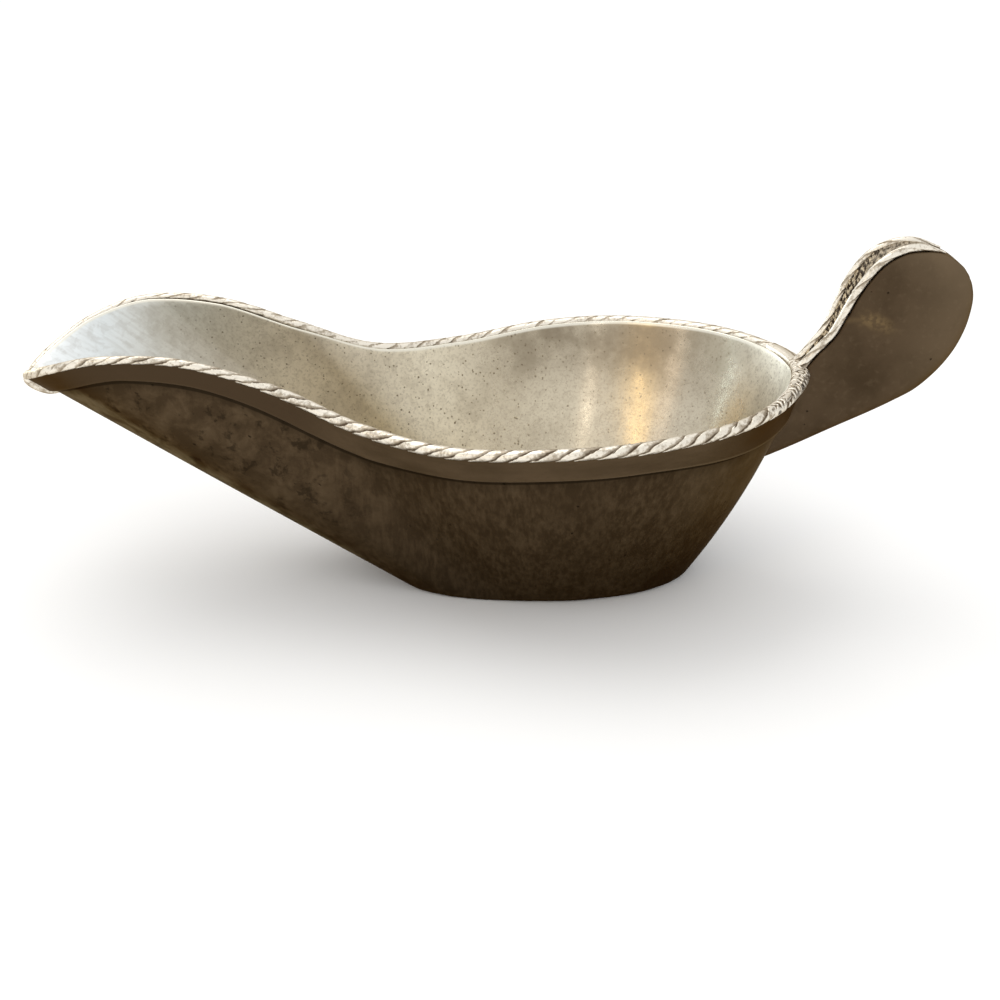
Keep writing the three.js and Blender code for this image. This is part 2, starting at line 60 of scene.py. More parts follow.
camera = bpy.data.objects.new("camera", bpy.data.cameras.new("camera"))
bpy.context.scene.collection.objects.link(camera)
camera.data.sensor_width = SENSOR_WIDTH
camera.data.lens = SENSOR_WIDTH * FOCAL_RATIO
camera.data.clip_start = 0.01
camera.location = (
    VIEW_TARGET[0],
    VIEW_TARGET[1] - VIEW_DISTANCE * math.cos(VIEW_ELEVATION),
    VIEW_TARGET[2] + VIEW_DISTANCE * math.sin(VIEW_ELEVATION),
)
camera.rotation_euler = (math.pi / 2 - VIEW_ELEVATION, 0, 0)
bpy.context.scene.camera = camera
bpy.context.scene.view_settings.view_transform = "Standard"
print("camera at", [round(value, 3) for value in camera.location])

# %% [markdown]
# Metal shows what stands round it, so the studio is plain: a white surround at full strength, a pale
# floor that takes the shadow, and soft lamps. The surround could be dimmed where it only lights, but
# at this strength a colour renders about as it is written.

# %% World and floor
FLOOR_SIZE = 12.0
FLOOR_COLOUR = (0.97, 0.97, 0.965, 1)

world = bpy.data.worlds.new("studio")
bpy.context.scene.world = world
world.use_nodes = True
world.node_tree.nodes["Background"].inputs["Color"].default_value = (1, 1, 1, 1)

half_floor = FLOOR_SIZE / 2
floor_mesh = bpy.data.meshes.new("floor")
floor_corners = [(x * half_floor, y * half_floor, 0) for x, y in ((-1, -1), (1, -1), (1, 1), (-1, 1))]
floor_mesh.from_pydata(floor_corners, [], [(0, 1, 2, 3)])
floor = bpy.data.objects.new("floor", floor_mesh)
bpy.context.scene.collection.objects.link(floor)
floor_finish = bpy.data.materials.new("floor")
floor_finish.use_nodes = True
floor_shader = floor_finish.node_tree.nodes["Principled BSDF"]
floor_shader.inputs["Base Color"].default_value = FLOOR_COLOUR
floor_shader.inputs["Roughness"].default_value = 1.0
floor_shader.inputs["Specular IOR Level"].default_value = 0.0
floor_mesh.materials.append(floor_finish)
print("floor", FLOOR_SIZE, "m wide")

# %% [markdown]
# One large soft lamp overhead gives the shadow and the white light on the rope. Narrow upright lamps
# behind the camera are what the hollow of the bowl shows as soft upright streaks, one of them golden.
# Two more stand for a window at the spout's end: a narrow one for the bluish streak near the handle,
# and a low wide glow for the pale light beside it. The streaks could be painted on the metal, but
# then they would stay where they are when the boat is turned. Directions are seen from the boat, and
# those of the streaks were worked out by mirroring the line of sight in the wall at each one's middle.

# %% Lamps
LAMP_DISTANCE = 1.3
LAMPS = [
    ("overhead", (-0.35, 0.35, 1.0), (1.1, 0.9), 4.0, (1, 0.98, 0.95)),
    ("warm_strip", (-0.56, -0.69, 0.45), (0.02, 0.26), 0.42, (1, 0.68, 0.22)),
    ("pink_strip", (-0.74, -0.55, 0.36), (0.16, 0.2), 0.20, (1, 0.82, 0.66)),
    ("pale_strip", (-0.21, -0.84, 0.49), (0.02, 0.3), 0.21, (1, 0.92, 0.84)),
    ("window", (-0.975, 0.10, 0.19), (0.02, 0.22), 0.10, (0.66, 0.87, 1)),
    ("window_glow", (-0.70, 0.71, 0.085), (0.5, 0.2), 1.9, (0.86, 0.94, 1)),
]


def add_lamp(name, towards, size, power, colour):
    """An area lamp at LAMP_DISTANCE in the direction towards, turned to face the boat. Its size is in
    metres, its power in watts."""
    direction = np.array(towards) / np.linalg.norm(towards)
    lamp = bpy.data.objects.new(name, bpy.data.lights.new(name, "AREA"))
    bpy.context.scene.collection.objects.link(lamp)
    lamp.data.shape = "RECTANGLE"
    lamp.data.size, lamp.data.size_y = size
    lamp.data.energy = power
    lamp.data.color = colour
    lamp.location = direction * LAMP_DISTANCE
    lamp.rotation_euler = lamp.location.to_track_quat("Z", "Y").to_euler()


for facts in LAMPS:
    add_lamp(*facts)
print("lamps:", ", ".join(facts[0] for facts in LAMPS))

# %% [markdown]
# The rim is one closed line in space, and so is the oval of the base. Both could be drawn as curve
# objects, but the wall, the band, the ropes and the pad all have to follow them, so they are kept as
# functions: a smooth line through a few stations, given half way round and mirrored. Each station
# names the distance along the boat, the half width and the height, as shares of the main sizes, and
# the angle on the base oval where the rib under it starts.

# %% Rim line and base line
SPOUT_LENGTH = 121.8
REAR_LENGTH = 58.8
RIM_HALF_WIDTH = 43.6
RIM_HEIGHT = 61.5
RIM_STATIONS = np.array([
    [-1.000, 0.000, 0.823, 0],
    [-0.979, 0.200, 0.863, 22],
    [-0.911, 0.428, 0.941, 40],
    [-0.805, 0.530, 1.000, 52],
    [-0.657, 0.528, 0.986, 60],
    [-0.493, 0.521, 0.880, 66],
    [-0.345, 0.626, 0.769, 72],
    [-0.181, 0.851, 0.745, 79],
    [0.000, 1.000, 0.781, 88],
    [0.340, 0.986, 0.805, 103],
    [0.680, 0.779, 0.821, 128],
    [0.901, 0.435, 0.834, 154],
    [1.000, 0.000, 0.843, 180],
])
BASE_FRONT = 36.2
BASE_REAR = 35.4
BASE_HALF_WIDTH = 20.7
BASE_FULLNESS_FRONT = 2.8
BASE_FULLNESS_REAR = 2.05
TINY = 1e-4


def smooth_line(points, t, closed):
    """Uniform Catmull-Rom line: between two points it is the cubic whose slope at each point is half
    the step between that point's neighbours. t runs from 0 to 1 along the whole line."""
    points = np.asarray(points, float)
    if closed:
        padded = np.concatenate([points[-1:], points, points[:2]])
        spans = len(points)
        place = np.mod(t, 1.0) * spans
    else:
        before = 2 * points[:1] - points[1:2]
        after = 2 * points[-1:] - points[-2:-1]
        padded = np.concatenate([before, points, after])
        spans = len(points) - 1
        place = np.clip(t, 0.0, 1.0) * spans
    span = np.minimum(place.astype(int), spans - 1)
    part = (place - span)[..., None]
    previous, start, end, following = (padded[span + step] for step in range(4))
    leave, arrive = (end - previous) / 2, (following - start) / 2
    bend = 3 * (end - start) - 2 * leave - arrive
    twist = 2 * (start - end) + leave + arrive
    return start + part * (leave + part * (bend + part * twist))


def base_point(rib_angle):
    """Superellipse: the unit direction of the angle, stretched until the sum of its powers is one."""
    along, across = np.cos(np.radians(rib_angle)), np.sin(np.radians(rib_angle))
    fullness = np.where(along > 0, BASE_FULLNESS_FRONT, BASE_FULLNESS_REAR)
    length = np.where(along > 0, BASE_FRONT, BASE_REAR)
    scale = (np.abs(along) ** fullness + np.abs(across) ** fullness) ** (-1 / fullness)
    return np.stack([-along * scale * length, -across * scale * BASE_HALF_WIDTH, 0 * along], axis=-1)


left_half = RIM_STATIONS * [1, -RIM_HALF_WIDTH, RIM_HEIGHT, 1]
left_half[:, 0] *= np.where(left_half[:, 0] < 0, SPOUT_LENGTH, REAR_LENGTH)
right_half = left_half[-2:0:-1] * [1, -1, 1, -1] + [0, 0, 0, 360]
all_stations = np.concatenate([left_half, right_half])
base_stations = base_point(all_stations[:, 3])


def rim_line(t):
    return smooth_line(all_stations[:, :3], t, closed=True)


def base_line(t):
    return smooth_line(base_stations, t, closed=True)


def length_along(points, axis=0):
    """Length from the first point to each point, along an axis of the array of points."""
    steps = np.linalg.norm(np.diff(points, axis=axis), axis=-1)
    return np.concatenate([0 * steps.take([0], axis), np.cumsum(steps, axis=axis)], axis=axis)


LENGTH_SAMPLES = 6001
sample_places = np.linspace(0, 1, LENGTH_SAMPLES)
sample_lengths = length_along(rim_line(sample_places))
rim_length = sample_lengths[-1]


def rim_place(length):
    """t of the point that lies a length in mm along the rim, counted from the tip of the spout."""
    turns = np.floor(length / rim_length)
    return np.interp(length - turns * rim_length, sample_lengths, sample_places) + turns


print("rim", round(rim_length, 1), "mm long")

# %% [markdown]
# The wall is made of straight ribs from the base line up to the rim line, swelled outwards a little
# half way up. Lofting between curve objects would do the same by hand. A function of two numbers is
# better here, because a third number, the distance out from the wall, then gives a place to
# everything that sits on the rim. That moulding is finer at the spout, and its heights are measured
# square to the rim line, because the ribs of the spout lean far forwards.

# %% Wall coordinates
WALL_THICKNESS = 1.8
WALL_SWELL_FRONT = 0.9
WALL_SWELL_REAR = 2.5
HEIGHT_PASSES = 5
MOULDING_TIP_SHARE = 0.72
MOULDING_GROWS_FROM = 0.2
MOULDING_GROWS_TO = 0.42
RIB_EVENING = 0.025


def unit(vectors):
    return vectors / np.linalg.norm(vectors, axis=-1, keepdims=True)


def eased(value):
    value = np.clip(value, 0, 1)
    return value * value * (3 - 2 * value)


def risen(value, start, full):
    """0 where the value is at its start, 1 where it is full, and eased between the two."""
    return eased((value - start) / (full - start))


def rear_share(t):
    """Share of the way from the tip of the spout to the back."""
    return (1 - np.cos(2 * np.pi * np.asarray(t))) / 2


def rib_point(t, share):
    return base_line(t) * (1 - share)[..., None] + rim_line(t) * share[..., None]


def wall_face(t, share):
    """Rib from base, share 0, to rim, share 1, moved out by swell times 4 share (1 - share)."""
    t, share = np.broadcast_arrays(np.asarray(t, float), np.asarray(share, float))
    point = rib_point(t, share)
    ahead = rib_point(t + TINY, share) - point
    outwards = unit(np.stack([ahead[..., 1], -ahead[..., 0], 0 * t], axis=-1))
    swell = WALL_SWELL_FRONT + (WALL_SWELL_REAR - WALL_SWELL_FRONT) * rear_share(t)
    return point + outwards * (swell * 4 * share * (1 - share))[..., None]


def wall_point(t, share, out):
    """Point at a distance out from the wall's outer face, square to it: the face's two slopes are
    crossed to give the direction."""
    along = wall_face(t + TINY, share) - wall_face(t - TINY, share)
    up = wall_face(t, share + TINY) - wall_face(t, share - TINY)
    return wall_face(t, share) + unit(np.cross(along, up)) * np.asarray(out, float)[..., None]


def wall_point_at_height(t, height, out):
    """As wall_point, but for a height above the base: the share is corrected until the height fits."""
    t, height, out = np.broadcast_arrays(t, np.asarray(height, float), np.asarray(out, float))
    rim_height = rim_line(t)[..., 2]
    share = height / rim_height
    for _ in range(HEIGHT_PASSES):
        share = share + (height - wall_point(t, share, out)[..., 2]) / rim_height
    return wall_point(t, share, out)


def moulding_share(t):
    """Size of the rim's moulding, as a share of its full size: finer at the spout."""
    growth = risen(rear_share(t), MOULDING_GROWS_FROM, MOULDING_GROWS_TO)
    return MOULDING_TIP_SHARE + (1 - MOULDING_TIP_SHARE) * growth


def rib_against_rim(t):
    """The rib's length square to the rim line, and its length along that line."""
    rib = rim_line(t) - base_line(t)
    along = unit(rim_line(t + TINY) - rim_line(t - TINY))
    return np.linalg.norm(np.cross(rib, along), axis=-1), np.sum(rib * along, axis=-1)


def rib_across(t):
    """The rib's length square to the rim line, evened out over a short stretch of that line."""
    nearby = np.linspace(-RIB_EVENING, RIB_EVENING, 5)
    return np.mean([rib_against_rim(t + shift)[0] for shift in nearby], axis=0)


def moulding_height(t, height):
    """Share of the rib at a height of the moulding, measured square to the rim line."""
    return 1 + height * moulding_share(t) / rib_across(t)


def rim_point(t, out, height):
    """Point of the moulding by its distance out from the wall and its height above the rim."""
    t, out, height = np.broadcast_arrays(t, np.asarray(out, float), np.asarray(height, float))
    return wall_point(t, moulding_height(t, height), out * moulding_share(t))


tip_of_wall, back_of_wall = wall_face([0.0, 0.5], [1.0, 1.0])
print("wall runs from", tip_of_wall.round(1), "to", back_of_wall.round(1))

# %% [markdown]
# Every piece below is a net of points: rows of closed loops, skinned with four-sided faces. A hoop
# joins its last row to its first. Any other body is closed at both ends by faces from each side of
# the loop to the other, so there are no poles. The faces are turned if the body comes out inside out,
# which its signed volume tells. Two distances in metres can go with the net as its own map, so that
# streaks and pits follow the surface, and marks are numbers at its points for the finish to read.
# Each piece rides on the boat's one body, and takes the place of the solid that it is named with.

# %% Skinning
SHARP_ANGLE = math.radians(50)


def hoop_faces(rows, across, closed):
    """Row and column of the four corners of each face between neighbouring rows and columns."""
    row, column = np.meshgrid(np.arange(rows if closed else rows - 1), np.arange(across), indexing="ij")
    corners = [(row, column), (row + 1, column), (row + 1, column + 1), (row, column + 1)]
    return np.stack([np.stack(pair, axis=-1) for pair in corners], axis=-2).reshape(-1, 4, 2)


def end_faces(row, across):
    """Faces that close one end: column i and its neighbour are joined to the columns opposite."""
    column = np.arange(across // 2 - 1)
    opposite = across - 1 - column
    columns = np.stack([column, column + 1, opposite - 1, opposite], axis=-1)
    return np.stack([np.full_like(columns, row), columns], axis=-1)


def skin(name, node, points, marks, closed=False, places=None):
    """A mesh object from a net of points in mm, of shape rows, columns, 3, for a CAD node, whose solid it
    hides. marks are numbers at its points; places are the net's own map, in mm."""
    points = np.asarray(points, float)
    rows, across = points.shape[:2]
    faces = hoop_faces(rows, across, closed)
    if not closed:
        first, last = end_faces(0, across), end_faces(rows - 1, across)[:, ::-1]
        faces = np.concatenate([faces, first, last])
    index = np.mod(faces[..., 0], rows) * across + np.mod(faces[..., 1], across)
    flat = points.reshape(-1, 3)
    corner = flat[index]
    halves = [(0, 1, 2), (0, 2, 3)]
    volume = sum(np.sum(corner[:, a] * np.cross(corner[:, b], corner[:, c])) for a, b, c in halves)
    if volume < 0:
        faces, index = faces[:, ::-1], index[:, ::-1]
    mesh = bpy.data.meshes.new(name)
    mesh.from_pydata(flat * MM, [], index)
    if places is not None:
        along, up = places
        wide = np.concatenate([up, up[:, :1]], axis=1)
        wide = np.concatenate([wide, wide[:1]], axis=0)
        long = np.concatenate([along, [rim_length if closed else along[-1]]])
        loops = np.stack([long[faces[..., 0]], wide[faces[..., 0], faces[..., 1]]], axis=-1)
        layer = mesh.uv_layers.new(name="places")
        layer.uv.foreach_set("vector", (loops * MM).astype(np.float32).ravel())
    for mark, values in marks.items():
        layer = mesh.attributes.new(mark, "FLOAT", "POINT")
        layer.data.foreach_set("value", np.broadcast_to(values, (rows, across)).astype(np.float32).ravel())
    mesh.polygons.foreach_set("use_smooth", np.ones(len(mesh.polygons), bool))
    mesh.set_sharp_from_angle(angle=SHARP_ANGLE)
    mesh.validate()
    piece = bpy.data.objects.new(name, mesh)
    bpy.context.scene.collection.objects.link(piece)
    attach(piece, "root")
    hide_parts(node)
    print(name, "has", len(mesh.polygons), "faces")
    return piece


# %% [markdown]
# Hand work is never quite even. A ripple is a sum of a few waves with directions and lengths drawn
# from a fixed seed, and it moves the strands and edges by hundredths of a millimetre. Blender's
# Displace modifier could do it, but then the amount could not change along the piece.

# %% Ripples
RIPPLE_WAVES = 9
RIPPLE_LENGTHS = (0.6, 1.7)
RIPPLE_FULLNESS = 1.8


def ripple(first, second, wavelength, seed):
    """Sum of waves of about one wavelength in mm, in directions drawn from the seed, from -1 to 1."""
    draw = np.random.default_rng(seed)
    angles = draw.uniform(0, np.pi, RIPPLE_WAVES)
    lengths = wavelength * draw.uniform(*RIPPLE_LENGTHS, RIPPLE_WAVES)
    phases = draw.uniform(0, 2 * np.pi, RIPPLE_WAVES)
    total = 0
    for angle, length, phase in zip(angles, lengths, phases):
        across = first * np.cos(angle) + second * np.sin(angle)
        total = total + np.sin(2 * np.pi * across / length + phase)
    return total / RIPPLE_WAVES * RIPPLE_FULLNESS


def spread(start, end, count, ends=True):
    """Evenly spaced numbers, with the end or, for a closed loop, without it."""
    return np.linspace(start, end, count, endpoint=ends)


print("ripples of", RIPPLE_WAVES, "waves")

# %% [markdown]
# The bowl is one raised or cast wall, from the long spout round the wide bowl and back. It could be a
# single sheet with Solidify, but the wall has a rounded foot outside, a bevel inside the rope that carries
# a painted highlight, and a soft fillet onto the base inside, so its section is written out as one closed
# loop and carried round the rim. Its marks say how far a point is down from the inner edge, and below the
# band, for the painted highlight and the painted shade there.

# %% Bowl wall
BASE_EDGE_ROUND = 1.0
BASE_PLATE_THICKNESS = 2.0
INNER_FILLET = 7.0
ROPE_HEIGHT = 2.8
ROPE_WIDTH = 3.2
ROPE_OFFSET = 0.15
ROPE_DROP = 0.3
WALL_STEPS = 640
FACE_ROWS = 36
FOOT_ROWS = 5
BEVEL_ROWS = 4
FILLET_ROWS = 11
FAR_OFF = 50.0
WALL_TOP = -0.5
SOLDER_GAP = 0.3
TOP_BEVEL = 0.35
COLLAR_HEIGHT = 5.2
COLLAR_END_GROWTH = 0.38
COLLAR_END_FROM = 0.7
COLLAR_END_FULL = 0.95
rope_underside = -ROPE_DROP - ROPE_HEIGHT / 2
collar_seat = rope_underside - SOLDER_GAP


def collar_growth(t):
    """How much deeper the band is than in the middle: it grows at the spout and at the back."""
    end = np.abs(2 * rear_share(t) - 1)
    return COLLAR_END_GROWTH * risen(end, COLLAR_END_FROM, COLLAR_END_FULL)


def top_share(t):
    return moulding_height(t, WALL_TOP - TOP_BEVEL)


def face_shares(t):
    """Shares of the ribs at the rows of the outer face, from the rounded foot to the bevel on top."""
    low = BASE_EDGE_ROUND / rim_line(t)[..., 2]
    return low + (top_share(t) - low) * spread(0, 1, FACE_ROWS)[1:]


def wall_section(t):
    """Loop of points up the outer face, over the top edge, down the inner face and in to the base."""
    corner = spread(0, np.pi / 2, FOOT_ROWS)
    foot_height, foot_out = BASE_EDGE_ROUND * (1 - np.cos(corner)), BASE_EDGE_ROUND * (np.sin(corner) - 1)
    foot = wall_point_at_height(t, foot_height, foot_out)
    shares = face_shares(t)
    outer = wall_point(t, shares, 0 * shares)
    turn = spread(0, np.pi / 2, BEVEL_ROWS)
    outer_bevel = wall_point(t, moulding_height(t, WALL_TOP - TOP_BEVEL * (1 - np.sin(turn))),
                             TOP_BEVEL * (np.cos(turn) - 1))
    inner_bevel = wall_point(t, moulding_height(t, WALL_TOP - TOP_BEVEL * (1 - np.cos(turn))),
                             -WALL_THICKNESS + TOP_BEVEL * (1 - np.sin(turn)))
    fillet_height = BASE_PLATE_THICKNESS + INNER_FILLET
    fillet_share = fillet_height / rim_line(t)[..., 2]
    fall = spread(1, 0, FACE_ROWS)[None, 1:-1]
    inner = wall_point(t, fillet_share + (top_share(t) - fillet_share) * fall, -WALL_THICKNESS + 0 * fall)
    above = wall_point_at_height(t, fillet_height, -WALL_THICKNESS)
    corner_point = wall_point_at_height(t, BASE_PLATE_THICKNESS, -WALL_THICKNESS)
    inwards = wall_point_at_height(t, BASE_PLATE_THICKNESS, -WALL_THICKNESS - INNER_FILLET)
    way = spread(0, 1, FILLET_ROWS)[None, :, None]
    fillet = above * (1 - way) ** 2 + corner_point * 2 * way * (1 - way) + inwards * way ** 2
    under = wall_point_at_height(t, 0, -WALL_THICKNESS)
    rows = [foot, outer, outer_bevel[:, 1:], inner_bevel, inner, fillet, corner_point, under]
    return np.concatenate(rows, axis=1)


around = spread(0, 1, WALL_STEPS, ends=False)[:, None]
wall_net = wall_section(around)
outer_count = FOOT_ROWS + FACE_ROWS - 1 + BEVEL_ROWS - 1
rib_ways = length_along(wall_net, axis=1)
inner_way = rib_ways - rib_ways[:, [outer_count]]
face_height = (face_shares(around) - 1) * rib_across(around) / moulding_share(around)
below_band = np.full(wall_net.shape[:2], FAR_OFF)
below_band[:, FOOT_ROWS:FOOT_ROWS + FACE_ROWS - 1] = (
    collar_seat - COLLAR_HEIGHT * (1 + collar_growth(around)) - face_height)
bowl = skin("bowl", "bowl_wall", wall_net, {"inner_way": inner_way, "below_band": below_band},
            closed=True, places=(np.interp(around[:, 0], sample_places, sample_lengths), rib_ways))


def paint_from_column(piece, across, first_column):
    """Gives the faces from a column of the net on to the piece's second finish."""
    count = len(piece.data.polygons)
    columns = np.mod(np.arange(count), across)
    piece.data.polygons.foreach_set("material_index", (columns >= first_column).astype(np.int32))

# %% [markdown]
# The flat base is a plate let in between the foot of the wall, soldered or cast with it. A filled
# circle would need scaling to the oval, so the plate takes its outline from the wall itself, a solder
# line inside the wall's inner face.

# %% Base plate
PLATE_EDGE = 0.25
plate_inset = -(WALL_THICKNESS + SOLDER_GAP)


def plate_row(height, draw_in):
    return wall_point_at_height(around[:, 0], height, plate_inset - draw_in)


plate_rows = [plate_row(0, PLATE_EDGE), plate_row(PLATE_EDGE, 0),
              plate_row(BASE_PLATE_THICKNESS - PLATE_EDGE, 0), plate_row(BASE_PLATE_THICKNESS, PLATE_EDGE)]
plate = skin("base_plate_finished", "base_plate", np.stack(plate_rows), {"inner_way": FAR_OFF})

# %% [markdown]
# Under the rope a plain band runs round the bowl. Its lower edge stands proud of the wall and is
# rounded by wear, and its face is slightly hollow, which is what catches a line of light. The band is
# a profile of distances out and heights on the rim, carried along the rim from one side of the spout's
# tip to the other.

# %% Collar band
COLLAR_THICKNESS = 0.9
COLLAR_HOLLOW = 0.05
COLLAR_EDGE = 0.3
COLLAR_SINK = 0.3
COLLAR_TOP = -0.7
COLLAR_STEP = 0.9
EDGE_ROWS = 6
HOLLOW_ROWS = 21
HOLLOW_LEAN = 0.6
HOLLOW_POWER = 1.5
LIP_LENGTH = 8.0
PIECE_OVERLAP = 0.6
collar_outer = SOLDER_GAP + COLLAR_THICKNESS
collar_bottom = collar_seat - COLLAR_HEIGHT
collar_deepest = collar_seat - COLLAR_HEIGHT * (1 + COLLAR_END_GROWTH)


def collar_section():
    """Loop from the bottom up the hollow face and down the back, as out and height. The hollow is a
    sine of the way up, whose deepest place is below the middle."""
    down = spread(-np.pi / 2, 0, EDGE_ROWS)
    bead_out = collar_outer - COLLAR_EDGE + COLLAR_EDGE * np.cos(down)
    bead_height = collar_bottom + COLLAR_EDGE + COLLAR_EDGE * np.sin(down)
    rise = spread(0, 1, HOLLOW_ROWS + 1)[1:]
    face_height = collar_bottom + COLLAR_EDGE + (COLLAR_TOP - collar_bottom - COLLAR_EDGE) * rise
    face_out = collar_outer - COLLAR_HOLLOW * np.sin(np.pi * rise ** HOLLOW_LEAN) ** HOLLOW_POWER
    front = np.stack([np.append(bead_out, face_out), np.append(bead_height, face_height)], axis=1)
    back = np.stack([np.full(len(front), -COLLAR_SINK), front[::-1, 1]], axis=1)
    return np.concatenate([front, back])


def along_rim(start, end, step):
    return spread(start, end, int(abs(end - start) / step) + 1)


def sweep_on_rim(lengths, section):
    """Net of points: a section of out and height, of shape columns, 2 or rows, columns, 2."""
    section = np.broadcast_to(section, (len(lengths),) + section.shape[-2:])
    places = rim_place(lengths)[:, None] + 0 * section[..., 0]
    return rim_point(places, section[..., 0], section[..., 1])


collar_start = LIP_LENGTH / 2 - PIECE_OVERLAP
collar_lengths = along_rim(collar_start, rim_length - collar_start, COLLAR_STEP)
collar_profile = collar_section()
collar_drop = np.outer(collar_growth(rim_place(collar_lengths)),
                       np.minimum(collar_profile[:, 1] - collar_seat, 0))
collar_rows = collar_profile + np.stack([0 * collar_drop, collar_drop], axis=-1)
collar_net = sweep_on_rim(collar_lengths, collar_rows)
collar_ways = np.broadcast_to(collar_profile[:, 1] - collar_bottom, collar_net.shape[:2])
collar = skin("collar_band", "rim_collar", collar_net, {"up": collar_ways},
              places=(collar_lengths, collar_ways))

# %% [markdown]
# The rope moulding is cast or chased to look like three twisted strands. It could be three swept
# circles, but on the real thing the strands are only proud of a solid core. Each has a slope, an almost
# flat face and a sharp drop to the next, uneven where the tool slipped. So it is one section whose
# reach falls at three places. Its columns turn with the strands as it goes along, which keeps the
# sharp drop on one line of the mesh. How high on its strand a point lies is also kept as a mark, so
# that the dark of the grooves follows them exactly.

# %% Strands and cuts
ROPE_STRANDS = 3
ROPE_SPACING = 4.6
ROPE_GROOVE = 0.18
ROPE_TRIM = 0.055
STRAND_RISE = 0.34
STRAND_FALL = 0.055
STRAND_SLOPE = 0.72
LEAST_DEPTH = 0.15
ROPE_COLUMNS = 78
CUT_SPACING = 1.25
CUT_SLENDERNESS = 1.7
CUT_LEAN = 0.8
CUT_RAGGEDNESS = 0.45
CUT_EDGE = (0.02, 0.44)


def strand_crest(phase):
    """1 on the strand and 0 in the groove. It is lopsided, as if laid over its neighbour: a slope over
    the first part of the phase, an almost flat face, and a sharp drop at the end."""
    slope = STRAND_SLOPE * np.clip(phase / STRAND_RISE, 0, 1) + (1 - STRAND_SLOPE) * phase
    return slope * np.clip((1 - phase) / STRAND_FALL, 0, 1)


def hatch_crest(along, across, seed):
    """Short cuts that lean two ways from the middle line, 0 in a cut and 1 between two: a ripple that
    is drawn out along the cuts, where it and a rounder one together are high."""
    from_middle = np.abs(across + 0.3 * ripple(along, across, 4.0, seed))
    over_cuts = along + CUT_LEAN * from_middle
    along_cuts = (from_middle - CUT_LEAN * along) / CUT_SLENDERNESS
    cuts = ripple(over_cuts, along_cuts, CUT_SPACING, seed + 1)
    pits = ripple(along, across, 1.3, seed + 2)
    return 1 - risen(cuts + CUT_RAGGEDNESS * pits, *CUT_EDGE)


def rope_facts(lengths, spacing, fade_lengths, tip_share, seed, depth_share, skew=lambda angle: 0.0):
    """Angle, reach, crest mark and size share of a rope with these lengths and strand spacings. The
    columns of the net turn with the strands, so that the sharp edges run along them. The skew says how
    much further along than its round each point lies."""
    steps = np.gradient(lengths)
    spacing = np.broadcast_to(spacing, lengths.shape)
    along = lengths[:, None]
    turn = np.cumsum(2 * np.pi * steps / (ROPE_STRANDS * spacing))[:, None]
    turn = turn + 0.5 * ripple(along, 0, 17.0, seed)
    around_rope = spread(0, 2 * np.pi, ROPE_COLUMNS, ends=False)[None, :]
    angle = around_rope + turn
    slip = 0.2 * ripple(along, 3 * angle, 6.0, seed + 1) + 0.1 * ripple(along, 2 * angle, 1.5, seed + 5)
    behind = 2 * np.pi * skew(angle) / (ROPE_STRANDS * spacing[:, None])
    phase = np.mod(ROPE_STRANDS * (around_rope - behind - slip) / (2 * np.pi), 1.0)
    worn = np.clip(depth_share + 0.5 * ripple(along, 2 * angle, 11.0, seed + 6), LEAST_DEPTH, 1)
    crest = 1 - worn * (1 - strand_crest(phase))
    depth = ROPE_GROOVE * (1 + 0.4 * ripple(along, 3 * angle, 8.0, seed + 2))
    dents = 0.018 * ripple(along, 3 * angle, 2.6, seed + 3) + 0.01 * ripple(along, 3 * angle, 0.9, seed + 4)
    reach = 1 - depth * (1 - crest) + dents - ROPE_TRIM
    start_fade, end_fade = fade_lengths
    from_ends = np.minimum((lengths - lengths[0]) / start_fade, (lengths[-1] - lengths) / end_fade)
    size = tip_share + (1 - tip_share) * eased(from_ends)[:, None]
    return angle, reach, crest, size


print("rope section of", ROPE_COLUMNS, "points")

# %% [markdown]
# Two ropes run round the rim, from the tip of the spout to the pad at the back. The one on the left is
# crisp, with finer strands near the handle that pass into the short cuts of the pad. Both are worn at
# the spout, where every sauce has run over them. A rope leans with the ribs of the wall, and the skew
# takes that lean out again, so that the strands stay even round the section.

# %% Rim ropes
ROPE_STEP = 0.22
ROPE_END_FADES = (2.5, 1.0)
ROPE_TIP_SHARE = 0.45
ROPE_SPOUT_WEAR = 0.65
ROPE_WEAR_TO = 0.36
ROPE_START = 0.9
LEFT_DEPTH_SHARE = 0.95
RIGHT_DEPTH_SHARE = 0.4
SADDLE_LENGTH = 30.0
FINE_SPACING = 2.6
FINE_LENGTH = 22.0
CUTS_EARLIER = 2.5
CUT_DEPTH = 0.3
ROPE_OVERLAP = 1.0
rear_length = rim_length / 2
rope_end = rear_length - SADDLE_LENGTH / 2 + ROPE_OVERLAP


